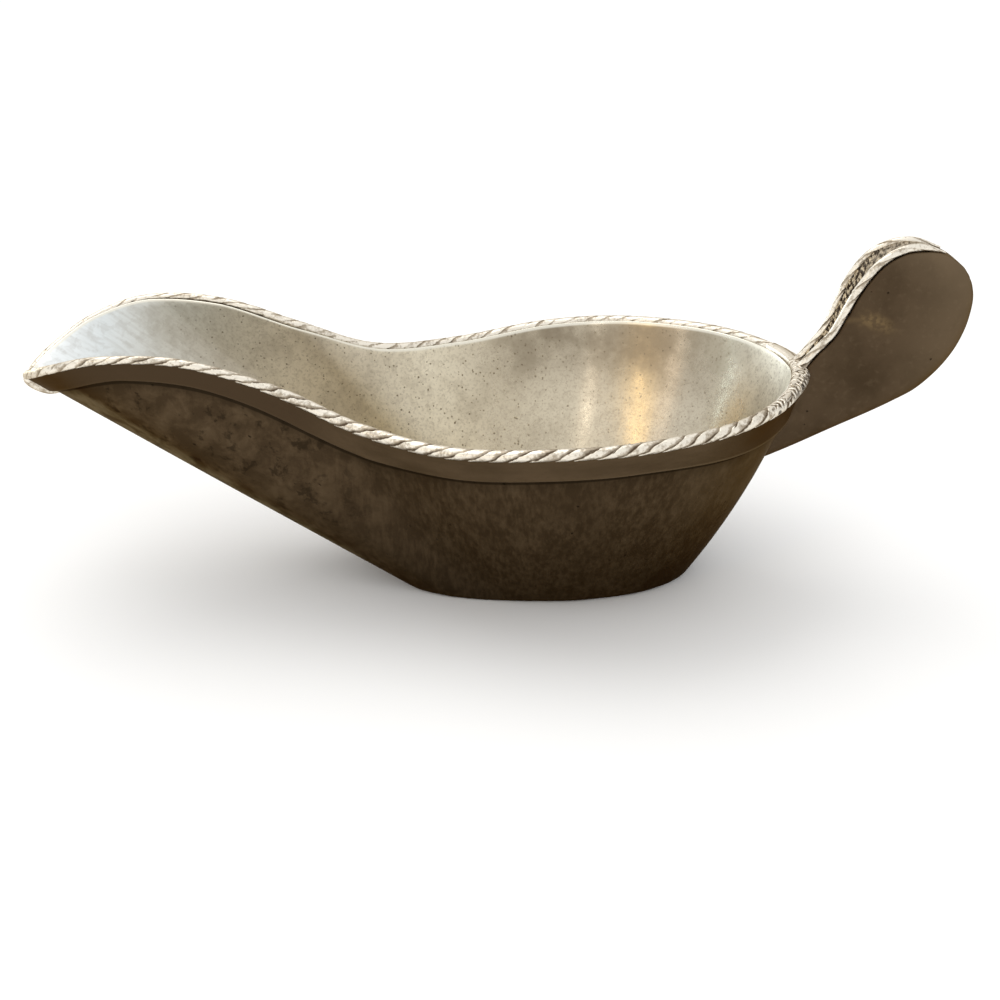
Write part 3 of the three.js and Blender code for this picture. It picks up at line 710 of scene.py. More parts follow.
def rim_rope(name, node, start, end, worked, seed, depth_share):
    """A rope from start to end along the rim, half its width times cos(angle) reach out and half its
    height times sin(angle) reach up. worked is 0 at its plain strands and 1 where they are the finest
    and the cuts have taken their place."""
    lengths = along_rim(start, end, ROPE_STEP)
    across, along = rib_against_rim(rim_place(lengths))
    lean = (along / across * moulding_share(rim_place(lengths)))[:, None]
    spout_wear = ROPE_SPOUT_WEAR * risen(rear_share(rim_place(lengths)), ROPE_WEAR_TO, 0)
    angle, reach, crest, size = rope_facts(
        lengths, ROPE_SPACING - (ROPE_SPACING - FINE_SPACING) * worked(lengths), ROPE_END_FADES,
        ROPE_TIP_SHARE, seed, (depth_share * (1 - spout_wear))[:, None],
        skew=lambda angle: lean * (ROPE_HEIGHT / 2 * np.sin(angle) - ROPE_DROP))
    cuts = hatch_crest(lengths[:, None], np.cos(angle) * ROPE_WIDTH / 2, seed + 7)
    share = eased(CUTS_EARLIER * worked(lengths))[:, None]
    crest = crest * (1 - share) + cuts * share
    reach = reach * (1 - share) + (1 - CUT_DEPTH / ROPE_WIDTH * 2 * (1 - cuts)) * share
    out = ROPE_OFFSET + np.cos(angle) * reach * size * ROPE_WIDTH / 2
    up = np.sin(angle) * reach * size * ROPE_HEIGHT / 2 - ROPE_DROP
    net = sweep_on_rim(lengths, np.stack([out, up], axis=-1))
    return skin(name, node, net, {"crest": crest, "hatched": share + 0 * crest})


def near_end(lengths):
    """0 along the left rope and 1 at its rear end, where the tool work of the pad begins."""
    return eased(1 - (rope_end - lengths) / FINE_LENGTH)


rope_left = rim_rope("rope_left", "rim_rope_left", ROPE_START, rope_end, near_end, 11, LEFT_DEPTH_SHARE)
rope_right = rim_rope("rope_right", "rim_rope_right", rim_length - rope_end, rim_length - ROPE_START,
                      lambda lengths: 0 * lengths, 23, RIGHT_DEPTH_SHARE)

# %% [markdown]
# The tip of the spout is a full rounded nose under which both ropes run out. Its front is one curve
# from its foot on the wall up and over the rope, the fullest below the middle, and it draws in to the
# band's own face at its ends. A sphere would be quicker, but could not lie against the leaning wall.

# %% Spout lip
LIP_OVERHANG = 3.8
LIP_DEPTH = 12.0
LIP_FOOT = 0.6
LIP_FULLEST_SHARE = 0.62
LIP_END_SHARE = 0.15
LIP_TOP = 0.55
LIP_EDGE_DROP = 0.3
LIP_BACK = np.array([[1.5, 0.35], [0.6, 0.55], [-0.6, 0.45], [-1.3, -0.2], [-1.1, -1.2], [-0.4, -2.4],
                     [-0.3, -5.0], [-0.3, -8.0], [-0.3, -11.9]])
LIP_COLUMNS = 40
LIP_STEP = 0.16
LIP_UNDERLAP = 0.8
LIP_RIPPLE = 0.03


def bezier(start, first_pull, second_pull, end, share):
    """Cubic Bezier curve at the shares, through its ends and drawn by its two pulls."""
    share = share[:, None]
    rest = 1 - share
    return (np.array(start) * rest ** 3 + 3 * np.array(first_pull) * rest ** 2 * share
            + 3 * np.array(second_pull) * rest * share ** 2 + np.array(end) * share ** 3)


lip_pull = collar_outer + LIP_OVERHANG
lip_front = bezier((SOLDER_GAP + LIP_FOOT, -LIP_DEPTH), (lip_pull, -LIP_DEPTH * LIP_FULLEST_SHARE),
                   (lip_pull, 0), (ROPE_OFFSET + ROPE_WIDTH / 2, LIP_TOP - LIP_EDGE_DROP),
                   spread(0, 1, LIP_COLUMNS))
lip_back = smooth_line(LIP_BACK, spread(0, 1, LIP_COLUMNS), closed=False)
lip_loop = np.concatenate([lip_front, lip_back])
half_lip = LIP_LENGTH / 2 + LIP_UNDERLAP
lip_lengths = along_rim(-half_lip, half_lip, LIP_STEP)
lip_fall = np.sqrt(np.cos(np.pi / 2 * np.clip(lip_lengths / half_lip, -1, 1)))
lip_fullness = LIP_END_SHARE + (1 - LIP_END_SHARE) * lip_fall
band_out = np.minimum(lip_loop[:, 0], collar_outer)
band_up = np.maximum(lip_loop[:, 1], collar_deepest)
lip_out = band_out + np.outer(lip_fullness, lip_loop[:, 0] - band_out)
lip_up = band_up + np.outer(lip_fullness, lip_loop[:, 1] - band_up)
lip_net = sweep_on_rim(lip_lengths, np.stack([lip_out, lip_up], axis=-1))
lip_net = lip_net + LIP_RIPPLE * ripple(lip_net[..., 1], lip_net[..., 2], 3.0, 5)[..., None]
lip = skin("spout_nose", "spout_lip", lip_net, {"crest": 0.85, "hatched": 0.0})

# %% [markdown]
# At the back both ropes end in a wider pad, where the handle is let in. Its left half is worked over
# with short cuts that lean two ways, like a herringbone, and one drawn line runs along the rest. A
# bump in the finish would show them from above only, so they are real dents, on the net's upper side.

# %% Hatched pad at the back
SADDLE_WIDTH = 4.4
SADDLE_HEIGHT = 1.2
SADDLE_COLUMNS = 96
SADDLE_STEP = 0.12
SADDLE_SQUARED = 0.8
SADDLE_POINTED = 0.7
SADDLE_END_SHARE = 0.97
SADDLE_RIPPLE = 0.04
WORKED_TO = 3.5
WORKED_FADE = 4.0
LINE_HALF_WIDTH = 0.35


def squared(value):
    """Sine or cosine raised to a power below one, which turns a circle into a rounded square."""
    return np.sign(value) * np.abs(value) ** SADDLE_SQUARED


half_saddle = SADDLE_LENGTH / 2 + PIECE_OVERLAP
saddle_lengths = along_rim(rear_length - half_saddle, rear_length + half_saddle, SADDLE_STEP)
saddle_along = saddle_lengths[:, None]
saddle_share = spread(0, 1, len(saddle_lengths))[:, None]
saddle_angle = spread(0, 2 * np.pi, SADDLE_COLUMNS, ends=False)[None, :]
saddle_end = ROPE_WIDTH * SADDLE_END_SHARE
saddle_width = saddle_end + (SADDLE_WIDTH - saddle_end) * np.sin(np.pi * saddle_share) ** SADDLE_POINTED
saddle_up = squared(np.sin(saddle_angle))
saddle_out = squared(np.cos(saddle_angle)) * saddle_width / 2
worked = eased((rear_length + WORKED_TO - saddle_along) / WORKED_FADE)
line_way = (saddle_out - 0.3 * ripple(saddle_along, 0, 9.0, 34)) / LINE_HALF_WIDTH
drawn_line = 1 - 0.5 * np.exp(-line_way ** 2)
saddle_crest = worked * hatch_crest(saddle_along, saddle_out, 31) + (1 - worked) * drawn_line
dent = CUT_DEPTH * (1 - saddle_crest) * np.clip(0.5 + saddle_up, 0, 1)
saddle_middle = (SADDLE_HEIGHT + rope_underside) / 2
saddle_half = (SADDLE_HEIGHT - rope_underside) / 2
uneven = SADDLE_RIPPLE * ripple(saddle_along, saddle_out, 1.5, 33)
saddle_height = saddle_middle + saddle_up * saddle_half - dent + uneven
saddle_net = sweep_on_rim(saddle_lengths, np.stack([ROPE_OFFSET + saddle_out, saddle_height], axis=-1))
saddle = skin("hatched_pad", "rim_saddle", saddle_net,
              {"crest": saddle_crest, "hatched": worked})

# %% [markdown]
# The handle is a hollow leaf that stands up behind the bowl, made of two shells joined down the
# middle. Two lines carry it: the front and top edge, where its ropes lie, and the seam behind and
# below. A section is drawn between the two points that share the same place on both lines: square at
# the edge, flat on the face and round at the seam. Each station gives the edge behind and above the
# back of the rim, then the seam, then the half thickness.

# %% Handle lines
HANDLE_REACH = 38.7
HANDLE_HEIGHT = 27.1
HANDLE_HALF_THICKNESS = 5.8
HANDLE_STATIONS = np.array([
    [-0.408, -0.587, -0.323, -0.950, 0.569],
    [-0.189, -0.328, -0.021, -0.755, 0.569],
    [-0.026, -0.092, 0.238, -0.572, 0.569],
    [0.090, 0.125, 0.450, -0.425, 0.586],
    [0.183, 0.299, 0.599, -0.310, 0.724],
    [0.238, 0.487, 0.724, -0.197, 0.879],
    [0.308, 0.720, 0.842, -0.023, 1.000],
    [0.403, 0.913, 0.925, 0.159, 0.983],
    [0.522, 1.018, 0.974, 0.336, 0.828],
    [0.650, 1.040, 0.995, 0.491, 0.655],
    [0.785, 1.013, 0.998, 0.613, 0.552],
    [0.893, 0.913, 0.982, 0.716, 0.414],
    [0.938, 0.840, 0.960, 0.782, 0.224],
])
HANDLE_WALL = 1.5
HANDLE_CORNER = 0.6
HANDLE_HOLLOW_END = 0.86
HANDLE_FACE_FULLNESS = 4
rim_back = rim_line(np.array(0.5))


def station_points(behind, above, half_thickness):
    return np.stack([rim_back[0] + behind * HANDLE_REACH, half_thickness * HANDLE_HALF_THICKNESS,
                     rim_back[2] + above * HANDLE_HEIGHT], axis=-1)


edge_behind, edge_above, seam_behind, seam_above, handle_half = HANDLE_STATIONS.T
edge_points = station_points(edge_behind, edge_above, handle_half)
seam_points = station_points(seam_behind, seam_above, 0 * handle_half)


def edge_line(t):
    return smooth_line(edge_points, t, closed=False)


def seam_line(t):
    return smooth_line(seam_points, t, closed=False)


def edge_middle(t):
    return edge_line(t) * [1, 0, 1]


def handle_point(t, down, out):
    """Point by its way down from the edge line towards the seam line and out from the middle."""
    edge = edge_middle(t)
    point = edge + unit(seam_line(t) - edge) * down[..., None]
    return np.stack([point[..., 0], out, point[..., 2]], axis=-1)


print("handle reaches", (edge_points[:, 2].max()).round(1), "mm above the base")

# %% [markdown]
# The handle passes through the rope, the band and the wall at an angle, so its lower end has to be
# cut to the bowl's outer face. A Boolean modifier would cut it, but leaves a ragged net. Here each
# lengthwise line of the handle is followed until it comes out of the wall, and the net starts there.
# That needs the opposite of wall_point: from a point back to its distance out of the wall, found by
# correcting a guess a few times.

# %% Where the handle leaves the bowl
SOLVE_PASSES = 9
SOLVE_NUDGES = np.array([1e-4, 1e-4, 1e-2])
SOLVE_LIMITS = np.array([0.2, 0.2, 40])
ROOT_SAMPLES = 70
ROOT_LIMIT = 0.40


def distance_from_wall(points):
    """Distance out from the wall's outer face, by Newton's method on place, share and distance."""
    guess = 0 * points + [0.5, 0.9, 0]
    for _ in range(SOLVE_PASSES):
        here = wall_point(*np.moveaxis(guess, -1, 0))
        moved = [wall_point(*np.moveaxis(guess + nudge, -1, 0)) for nudge in np.diag(SOLVE_NUDGES)]
        slopes = (np.stack(moved, axis=-1) - here[..., None]) / SOLVE_NUDGES
        step = np.linalg.solve(slopes, (points - here)[..., None])[..., 0]
        guess = guess + np.clip(step, -SOLVE_LIMITS, SOLVE_LIMITS)
    return guess[..., 2]


def place_at_wall(line, sink):
    """For each column, the place t where line(t) comes out to a distance of sink from the wall."""
    places = spread(0, ROOT_LIMIT, ROOT_SAMPLES)
    outs = distance_from_wall(line(places[:, None])) - sink
    first = np.argmax(outs > 0, axis=0)
    columns = np.arange(outs.shape[1])
    before, after = outs[first - 1, columns], outs[first, columns]
    return places[first - 1] + (places[first] - places[first - 1]) * (-before) / (after - before)


known_outs = np.array([1.0, 2.0])
found_outs = distance_from_wall(wall_point(np.array([0.48, 0.5]), np.array([0.7, 0.9]), known_outs))
print("distances from the wall of", known_outs, "mm are found as", found_outs.round(3))

# %% [markdown]
# Each shell is a loop: up the outside of the section, then back down its inside, a wall's thickness
# in. Near the tip the hollow closes, which is done by letting the inside line shrink onto the middle
# plane. The shells could be two surfaces thickened by a modifier, but a shell with a real inside and
# an exact joint line costs no more here.

# %% Handle shells
HANDLE_ROWS = 170
TIP_ROWS = 6
TIP_BULGE = 0.35
SHELL_SINK = -0.4
SHELL_TRIM = 0.02
MIDDLE_CLEARANCE = 0.02
HOLLOW_FADE = 0.08

flat_columns = spread(0, 1, 8, ends=False)
bend_columns = spread(0, np.pi / 2, 6, ends=False)
face_columns = np.sin(spread(0, np.pi / 2, 44))
face_fall = np.sqrt(1 - face_columns ** HANDLE_FACE_FULLNESS)
corner_down = np.concatenate([0 * flat_columns, 1 - np.cos(bend_columns), 1 + 0 * face_columns])
face_down = np.concatenate([0 * flat_columns, 0 * bend_columns, face_columns])
flat_out = np.concatenate([flat_columns, 1 + 0 * bend_columns, face_fall])
corner_out = np.concatenate([0 * flat_columns, np.sin(bend_columns), face_fall])
half_columns = len(face_down)


def section_points(t, inset, swell, side):
    """Half a section at the places t, of shape rows, columns: a flat on the edge, a rounded corner,
    then the face, whose thickness falls as the root of one less its share to the fourth power."""
    half = edge_line(t)[..., 1] - inset
    width = np.linalg.norm(seam_line(t) - edge_middle(t), axis=-1) - inset
    corner = np.minimum(HANDLE_CORNER, half / 2)
    down = inset + corner * corner_down + (width - inset - corner) * face_down
    out = (half - corner) * flat_out + corner * corner_out
    return handle_point(t, down, side * (MIDDLE_CLEARANCE + out * swell))


def shell_loop(t, side):
    """The whole loop of one shell: its outside, then its inside in the opposite order."""
    inner_t = t[:, :half_columns - 1:-1]
    outer = section_points(t[:, :half_columns], SHELL_TRIM, 1.0, side)
    inner = section_points(inner_t, HANDLE_WALL, eased((HANDLE_HOLLOW_END - inner_t) / HOLLOW_FADE), side)
    return np.concatenate([outer, inner[:, ::-1]], axis=1)


def handle_shell(name, node, side):
    """One shell from the bowl's face to the tip. The last rows close it roundly: they draw in to the
    middle by the cosine, and move on by the sine, of a quarter turn."""
    start = place_at_wall(lambda t: shell_loop(t + np.zeros(2 * half_columns), side), SHELL_SINK)
    t = start + (1 - start) * spread(0, 1, HANDLE_ROWS)[:, None]
    net = shell_loop(t, side)
    middle = net[-1].mean(axis=0)
    ahead = unit(middle - net[-3].mean(axis=0))
    turn = spread(0, np.pi / 2, TIP_ROWS + 1)[1:-1, None, None]
    tip = middle + (net[-1] - middle) * np.cos(turn) + ahead * TIP_BULGE * np.sin(turn)
    net = np.concatenate([net, tip])
    net[..., 1] = side * np.maximum(side * net[..., 1], MIDDLE_CLEARANCE)
    return skin(name, node, net, {})


LEFT, RIGHT = -1, 1
shells = [handle_shell("leaf_left", "handle_shell_left", LEFT),
          handle_shell("leaf_right", "handle_shell_right", RIGHT)]

# %% [markdown]
# Two finer ropes lie along the handle's edge, one at each side, with a rough strip between them. Their
# strands are long and shallow, they are a little fuller at the root and fade out over the top. They
# are made like the rim's ropes, but on the line of the edge: each round stands in the plane across
# the line, turned by the square direction away from the handle.

# %% Handle ropes
EDGE_ROPE_DIAMETER = 2.0
EDGE_ROPE_SPACING = 6.0
EDGE_ROPE_INSET = 0.1
EDGE_ROPE_END = 0.83
EDGE_ROPE_FADES = (0.1, 7.0)
EDGE_ROPE_TIP_SHARE = 0.3
EDGE_ROPE_STEP = 0.2
EDGE_ROPE_SAMPLES = 2001
EDGE_ROPE_DEPTH_SHARE = 0.5
EDGE_ROPE_ROOT = -0.3
EDGE_ROPE_FLARE = 0.4
EDGE_ROPE_FLARE_LENGTH = 4.5
edge_radius = EDGE_ROPE_DIAMETER / 2


def edge_outwards(t):
    """Direction square to the edge line in the middle plane, away from the handle."""
    along = edge_line(t + TINY) - edge_line(t - TINY)
    return unit(np.stack([-along[..., 2], 0 * t, along[..., 0]], axis=-1))


def edge_rope_line(t, side):
    out = side * (edge_line(t)[..., 1] - edge_radius - EDGE_ROPE_INSET)
    return edge_middle(t) + out[..., None] * [0, 1, 0] + edge_outwards(t) * edge_radius


def edge_rope(name, node, side, seed):
    """A rope up one side of the edge: centre - sideways cos(angle) radius + outwards sin(angle) radius."""
    root = place_at_wall(lambda t: edge_rope_line(t, side), EDGE_ROPE_ROOT)[0]
    fine = spread(root, EDGE_ROPE_END, EDGE_ROPE_SAMPLES)
    way = length_along(edge_rope_line(fine, side))
    lengths = along_rim(0, way[-1], EDGE_ROPE_STEP)
    t = np.interp(lengths, way, fine)
    angle, reach, crest, size = rope_facts(lengths, EDGE_ROPE_SPACING, EDGE_ROPE_FADES, EDGE_ROPE_TIP_SHARE,
                                           seed, EDGE_ROPE_DEPTH_SHARE)
    outwards = edge_outwards(t)[:, None]
    centre = edge_rope_line(t, side)[:, None] + outwards * edge_radius * (size[..., None] - 1)
    along = unit(edge_rope_line(t + TINY, side) - edge_rope_line(t - TINY, side))
    sideways = np.cross(along[:, None], outwards)
    flare = 1 + EDGE_ROPE_FLARE * (1 - eased(lengths / EDGE_ROPE_FLARE_LENGTH))[:, None]
    radius = reach * size * flare * edge_radius
    net = (centre - sideways * (np.cos(angle) * radius)[..., None]
           + outwards * (np.sin(angle) * radius)[..., None])
    return skin(name, node, net, {"crest": crest, "hatched": 0.0})


edge_ropes = [edge_rope("leaf_rope_left", "handle_rope_left", LEFT, 41),
              edge_rope("leaf_rope_right", "handle_rope_right", RIGHT, 53)]

# %% [markdown]
# The strip between the two ropes was never smoothed: it is dark and pitted, as it came from the mould,
# and only over the top, where fingers reach it, is it rubbed. Its upper side is pushed down by ripples
# of two lengths, which a displacement texture could do too, but not with a mark for the finish.

# %% Strip between the handle ropes
STRIP_TOP = 1.15
STRIP_SINK = -0.3
STRIP_COLUMNS = 26
STRIP_ROWS = 420
STRIP_OVERLAP = 0.35
STRIP_LENGTH = 100
STRIP_FADE = 0.12
STRIP_END_SHARE = 0.25
PIT_DEPTH = 0.55
RUBBED_FROM = 0.50
RUBBED_FADE = 0.18

strip_root = place_at_wall(edge_middle, EDGE_ROPE_ROOT)[0]
strip_t = spread(strip_root, EDGE_ROPE_END, STRIP_ROWS)[:, None]
strip_half = edge_line(strip_t)[..., 1] - EDGE_ROPE_INSET - EDGE_ROPE_DIAMETER + STRIP_OVERLAP
strip_share = np.concatenate([spread(-1, 1, STRIP_COLUMNS), spread(1, -1, STRIP_COLUMNS)])[None, :]
strip_side = strip_half * strip_share
strip_way = strip_t * STRIP_LENGTH
pits = 0.5 + 0.5 * ripple(strip_way, strip_side, 2.1, 61) + 0.35 * ripple(strip_way, strip_side, 0.9, 62)
strip_fade = STRIP_END_SHARE + (1 - STRIP_END_SHARE) * eased((EDGE_ROPE_END - strip_t) / STRIP_FADE)
on_top = np.arange(2 * STRIP_COLUMNS)[None, :] < STRIP_COLUMNS
strip_up = STRIP_SINK + on_top * (STRIP_TOP - STRIP_SINK - PIT_DEPTH * pits) * strip_fade
strip_net = (edge_middle(strip_t) + strip_side[..., None] * [0, 1, 0]
             + edge_outwards(strip_t) * strip_up[..., None])
rubbed_top = eased((strip_t - RUBBED_FROM) / RUBBED_FADE) + 0 * pits
strip = skin("leaf_strip", "handle_edge_strip", strip_net,
             {"crest": np.clip(1 - pits, 0, 1), "rubbed": rubbed_top})

# %% [markdown]
# All the finishes are one white metal in different states: polished by use inside and on the ropes,
# browned and never cleaned outside. A picture could be painted for each, but clouds and specks have no
# seams and stay sharp from close by. Each finish is a colour with layers over it, and each layer has a
# share that is worked out from clouds, from the place on the boat and from the marks. A node's output
# knows its tree, so the helpers need only the values that they work on.

# %% Finish helpers
SPECK_SOFTNESS = 0.35


def screen(red, green, blue):
    """Linear colour of a screen colour from 0 to 255: the usual curve with its straight foot."""
    values = np.array([red, green, blue]) / 255
    linear = np.where(values <= 0.04045, values / 12.92, ((values + 0.055) / 1.055) ** 2.4)
    return tuple(linear) + (1.0,)


def add_node(tree, kind, inputs=(), **settings):
    """A node of this kind with its settings, and its inputs set or linked by name or number."""
    node = tree.nodes.new("ShaderNode" + kind)
    for setting, value in settings.items():
        setattr(node, setting, value)
    for socket, value in dict(inputs).items():
        if isinstance(value, bpy.types.NodeSocket):
            tree.links.new(value, node.inputs[socket])
        else:
            node.inputs[socket].default_value = value
    return node


def calculate(operation, *values):
    """One value from several numbers or sockets, taken together one after the other."""
    tree = next(value.id_data for value in values if isinstance(value, bpy.types.NodeSocket))
    result = values[0]
    for value in values[1:]:
        result = add_node(tree, "Math", {0: result, 1: value}, operation=operation).outputs[0]
    return result


def plus(*values):
    return calculate("ADD", *values)


def times(*values):
    return calculate("MULTIPLY", *values)


def larger(*values):
    return calculate("MAXIMUM", *values)


def between(value, low, high, to_low=0.0, to_high=1.0):
    """The value's place between low and high, smooth and held at the ends."""
    inputs = {"Value": value, "From Min": low, "From Max": high, "To Min": to_low, "To Max": to_high}
    return add_node(value.id_data, "MapRange", inputs, interpolation_type="SMOOTHSTEP").outputs["Result"]


def layered(colour, *layers):
    """A colour with others laid over it in turn, each by its share from 0 to 1."""
    for share, over in layers:
        inputs = {0: share, 6: colour, 7: over}
        colour = add_node(share.id_data, "Mix", inputs, data_type="RGBA").outputs[2]
    return colour


def cloud(place, scale, detail=3.0, roughness=0.5, distortion=0.0):
    """Soft random spots, 0 to 1. One scale for each axis stretches them."""
    if isinstance(scale, tuple):
        place = add_node(place.id_data, "Mapping", {"Vector": place, "Scale": scale}).outputs[0]
        scale = 1.0
    inputs = {"Vector": place, "Scale": scale, "Detail": detail, "Roughness": roughness,
              "Distortion": distortion}
    return add_node(place.id_data, "TexNoise", inputs).outputs["Fac"]


def specks(place, scale, size, bare_share=0.35):
    """Small round spots, 1 inside and 0 outside: near the middle of some cells, each its own size."""
    cells = add_node(place.id_data, "TexVoronoi", {"Vector": place, "Scale": scale, "Randomness": 1.0})
    pick = add_node(place.id_data, "SeparateColor", {0: cells.outputs["Color"]}).outputs[0]
    own_size = between(pick, bare_share, 1.0, 0.0, size)
    return between(calculate("SUBTRACT", own_size, cells.outputs["Distance"]), 0.0, size * SPECK_SOFTNESS)


def axes(place):
    return add_node(place.id_data, "SeparateXYZ", {0: place}).outputs


def surface_place(tree):
    """The net's own map: metres along the rim and metres up the wall."""
    return add_node(tree, "UVMap", uv_map="places").outputs[0]


def mark(tree, name):
    """The number that the net carries at its points under this name."""
    return add_node(tree, "Attribute", attribute_name=name, attribute_type="GEOMETRY").outputs["Fac"]


def new_metal(name, edge=(1, 1, 1, 1)):
    """A metal with its colour at a grazing angle, its node tree, and the shaded place in metres."""
    metal = bpy.data.materials.new(name)
    metal.use_nodes = True
    shader = metal.node_tree.nodes["Principled BSDF"]
    shader.inputs["Metallic"].default_value = 1.0
    shader.inputs["Specular Tint"].default_value = edge
    return metal, metal.node_tree, add_node(metal.node_tree, "TexCoord").outputs["Object"]


def set_surface(metal, colour, roughness, height, depth):
    """Links a colour, a roughness and a height whose bump is depth millimetres deep."""
    tree = metal.node_tree
    bump = add_node(tree, "Bump", {"Height": height, "Distance": depth * MM, "Strength": 1.0})
    for socket, value in (("Base Color", colour), ("Roughness", roughness), ("Normal", bump.outputs[0])):
        tree.links.new(value, tree.nodes["Principled BSDF"].inputs[socket])


print("finish helpers ready")

# %% [markdown]
# Outside, the metal has browned and dulled. Short fine upright flecks from wiping follow the ribs of the
# wall. They are clouds squeezed level, so they stand upright all round; on the net's own map they would fan
# out under the spout, where the real metal is mottled instead. Small dark stains lie mostly there too.
# Painted light and shade lie over the brown as well: a painted reflection makes the keel paler, painted
# shade darkens the wall towards the foot, low at the back and in a line under the band, and a paler patch
# of painted light lies on the back of the wall above the foot. Bare metal mirrors brightly at a grazing
# angle; the brown layer does not, which is what the dark tint at the edge is for.

# %% Brown outside
BROWN_DARK = screen(66, 53, 38)
BROWN = screen(84, 69, 51)
BROWN_PALE_AND_LIT = screen(102, 86, 66)
BROWN_STAIN_AND_SHADE = screen(32, 25, 16)
KEEL_SHEEN = screen(132, 120, 96)
BROWN_EDGE = screen(176, 166, 152)
KEEL_HALF_WIDTH = 0.0188
BROWN_RELIEF = 0.05

brown, tree, place = new_metal("brown_outside", BROWN_EDGE)
x, y, z = axes(place)
flecks = cloud(place, (1000, 1000, 85), 3, 0.6)
patches = cloud(place, (260, 260, 70), 4, 0.6)
mottle = cloud(place, 170, 6, 0.68, 0.3)
stains = cloud(place, 300, 5, 0.62, 0.3)
on_body = between(x, -0.060, -0.020, 0.12, 0.85)
upright = plus(times(flecks, 0.6), times(patches, 0.4))
mixed = plus(times(upright, on_body), times(mottle, calculate("SUBTRACT", 1.0, on_body)))
on_spout = between(x, -0.030, -0.060, 0.12, 1.0)
on_keel = between(calculate("ABSOLUTE", y, 0.0), KEEL_HALF_WIDTH, KEEL_HALF_WIDTH - 0.003)
keel_sheen_share = times(on_keel, between(x, -0.034, -0.050), between(mottle, 0.36, 0.64, 0.08, 0.5))
band_way = mark(tree, "below_band")
band_shadow = larger(between(band_way, 2.1, 1.5, 0.0, 0.8), between(band_way, 5.5, 1.5, 0.0, 0.3))
dots = specks(surface_place(tree), 260, 0.13)
colour = layered(
    BROWN_DARK,
    (between(mixed, 0.41, 0.58), BROWN),
    (between(mixed, 0.53, 0.68, 0.0, 0.55), BROWN_PALE_AND_LIT),
    (between(cloud(place, 45, 3), 0.50, 0.68, 0.0, 0.28), BROWN_DARK),
    (times(between(stains, 0.55, 0.66, 0.0, 0.58), on_spout), BROWN_STAIN_AND_SHADE),
    # painted reflection: a paler strip along the keel of the spout
    (keel_sheen_share, KEEL_SHEEN),
    # painted shade: darker towards the foot
    (between(z, 0.034, -0.010, 0.0, 0.34), BROWN_STAIN_AND_SHADE),
    # painted light: a paler patch on the back of the wall above the foot
    (times(between(x, 0.022, 0.034), between(z, 0.018, 0.030, 0.0, 0.35)), BROWN_PALE_AND_LIT),
    # painted shade: darker low on the back of the wall, near the foot
    (times(between(x, 0.012, 0.036), between(z, 0.022, 0.002, 0.0, 0.4)), BROWN_STAIN_AND_SHADE),
    # painted shade: a dark line and a soft shadow under the band
    (band_shadow, BROWN_STAIN_AND_SHADE),
    (times(dots, 0.75), BROWN_STAIN_AND_SHADE))
roughness = between(mixed, 0.3, 0.7, 0.5, 0.62)
set_surface(brown, colour, roughness, plus(mixed, times(dots, -1.5)), BROWN_RELIEF)
print("outside:", len(tree.nodes), "nodes")

# %% [markdown]
# Inside, use has kept the metal a pale warm silver, duller and browner in clouds below the far rim,
# blotched, and dotted with fine dark pits. The colour along the boat goes through a ramp. It is coolest and
# brightest in the spout, partly from pouring and partly as a painted reflection, and bright again at the
# very back, which is a painted reflection. The surface is matt in the spout and at the back, so that the
# lamps don't draw lines there. A painted highlight lies as a bright line along the rounded edge just inside
# the rope. One even silver with only the lamps to shape it would be simpler, but too clean.

# %% Silver inside
SILVER_GREY = screen(138, 126, 107)
INNER_EDGE_HIGHLIGHT = screen(240, 236, 222)
PIT = screen(92, 78, 56)
SILVER_RELIEF = 0.04
SILVER_AND_SHEEN_ALONG = [(-0.122, (252, 255, 255)), (-0.108, (224, 229, 229)), (-0.094, (204, 202, 192)),
                (-0.080, (208, 202, 188)), (-0.064, (226, 218, 201)), (-0.048, (215, 205, 184)),
                (-0.030, (231, 222, 200)), (-0.012, (200, 189, 166)), (0.004, (207, 196, 173)),
                (0.030, (199, 188, 168)), (0.046, (200, 192, 172)), (0.060, (255, 254, 242))]


def ramp(value, stops):
    """Colour that goes through the stops, each a value and a screen colour, as the value rises."""
    first, last = stops[0][0], stops[-1][0]
    inputs = {"Value": value, "From Min": first, "From Max": last}
    share = add_node(value.id_data, "MapRange", inputs).outputs["Result"]
    node = add_node(value.id_data, "ValToRGB", {"Fac": share})
    elements = node.color_ramp.elements
    for number, (stop, colour) in enumerate(stops):
        spot = (stop - first) / (last - first)
        element = elements[number] if number < 2 else elements.new(spot)
        element.position, element.color = spot, screen(*colour)
    return node.outputs["Color"]


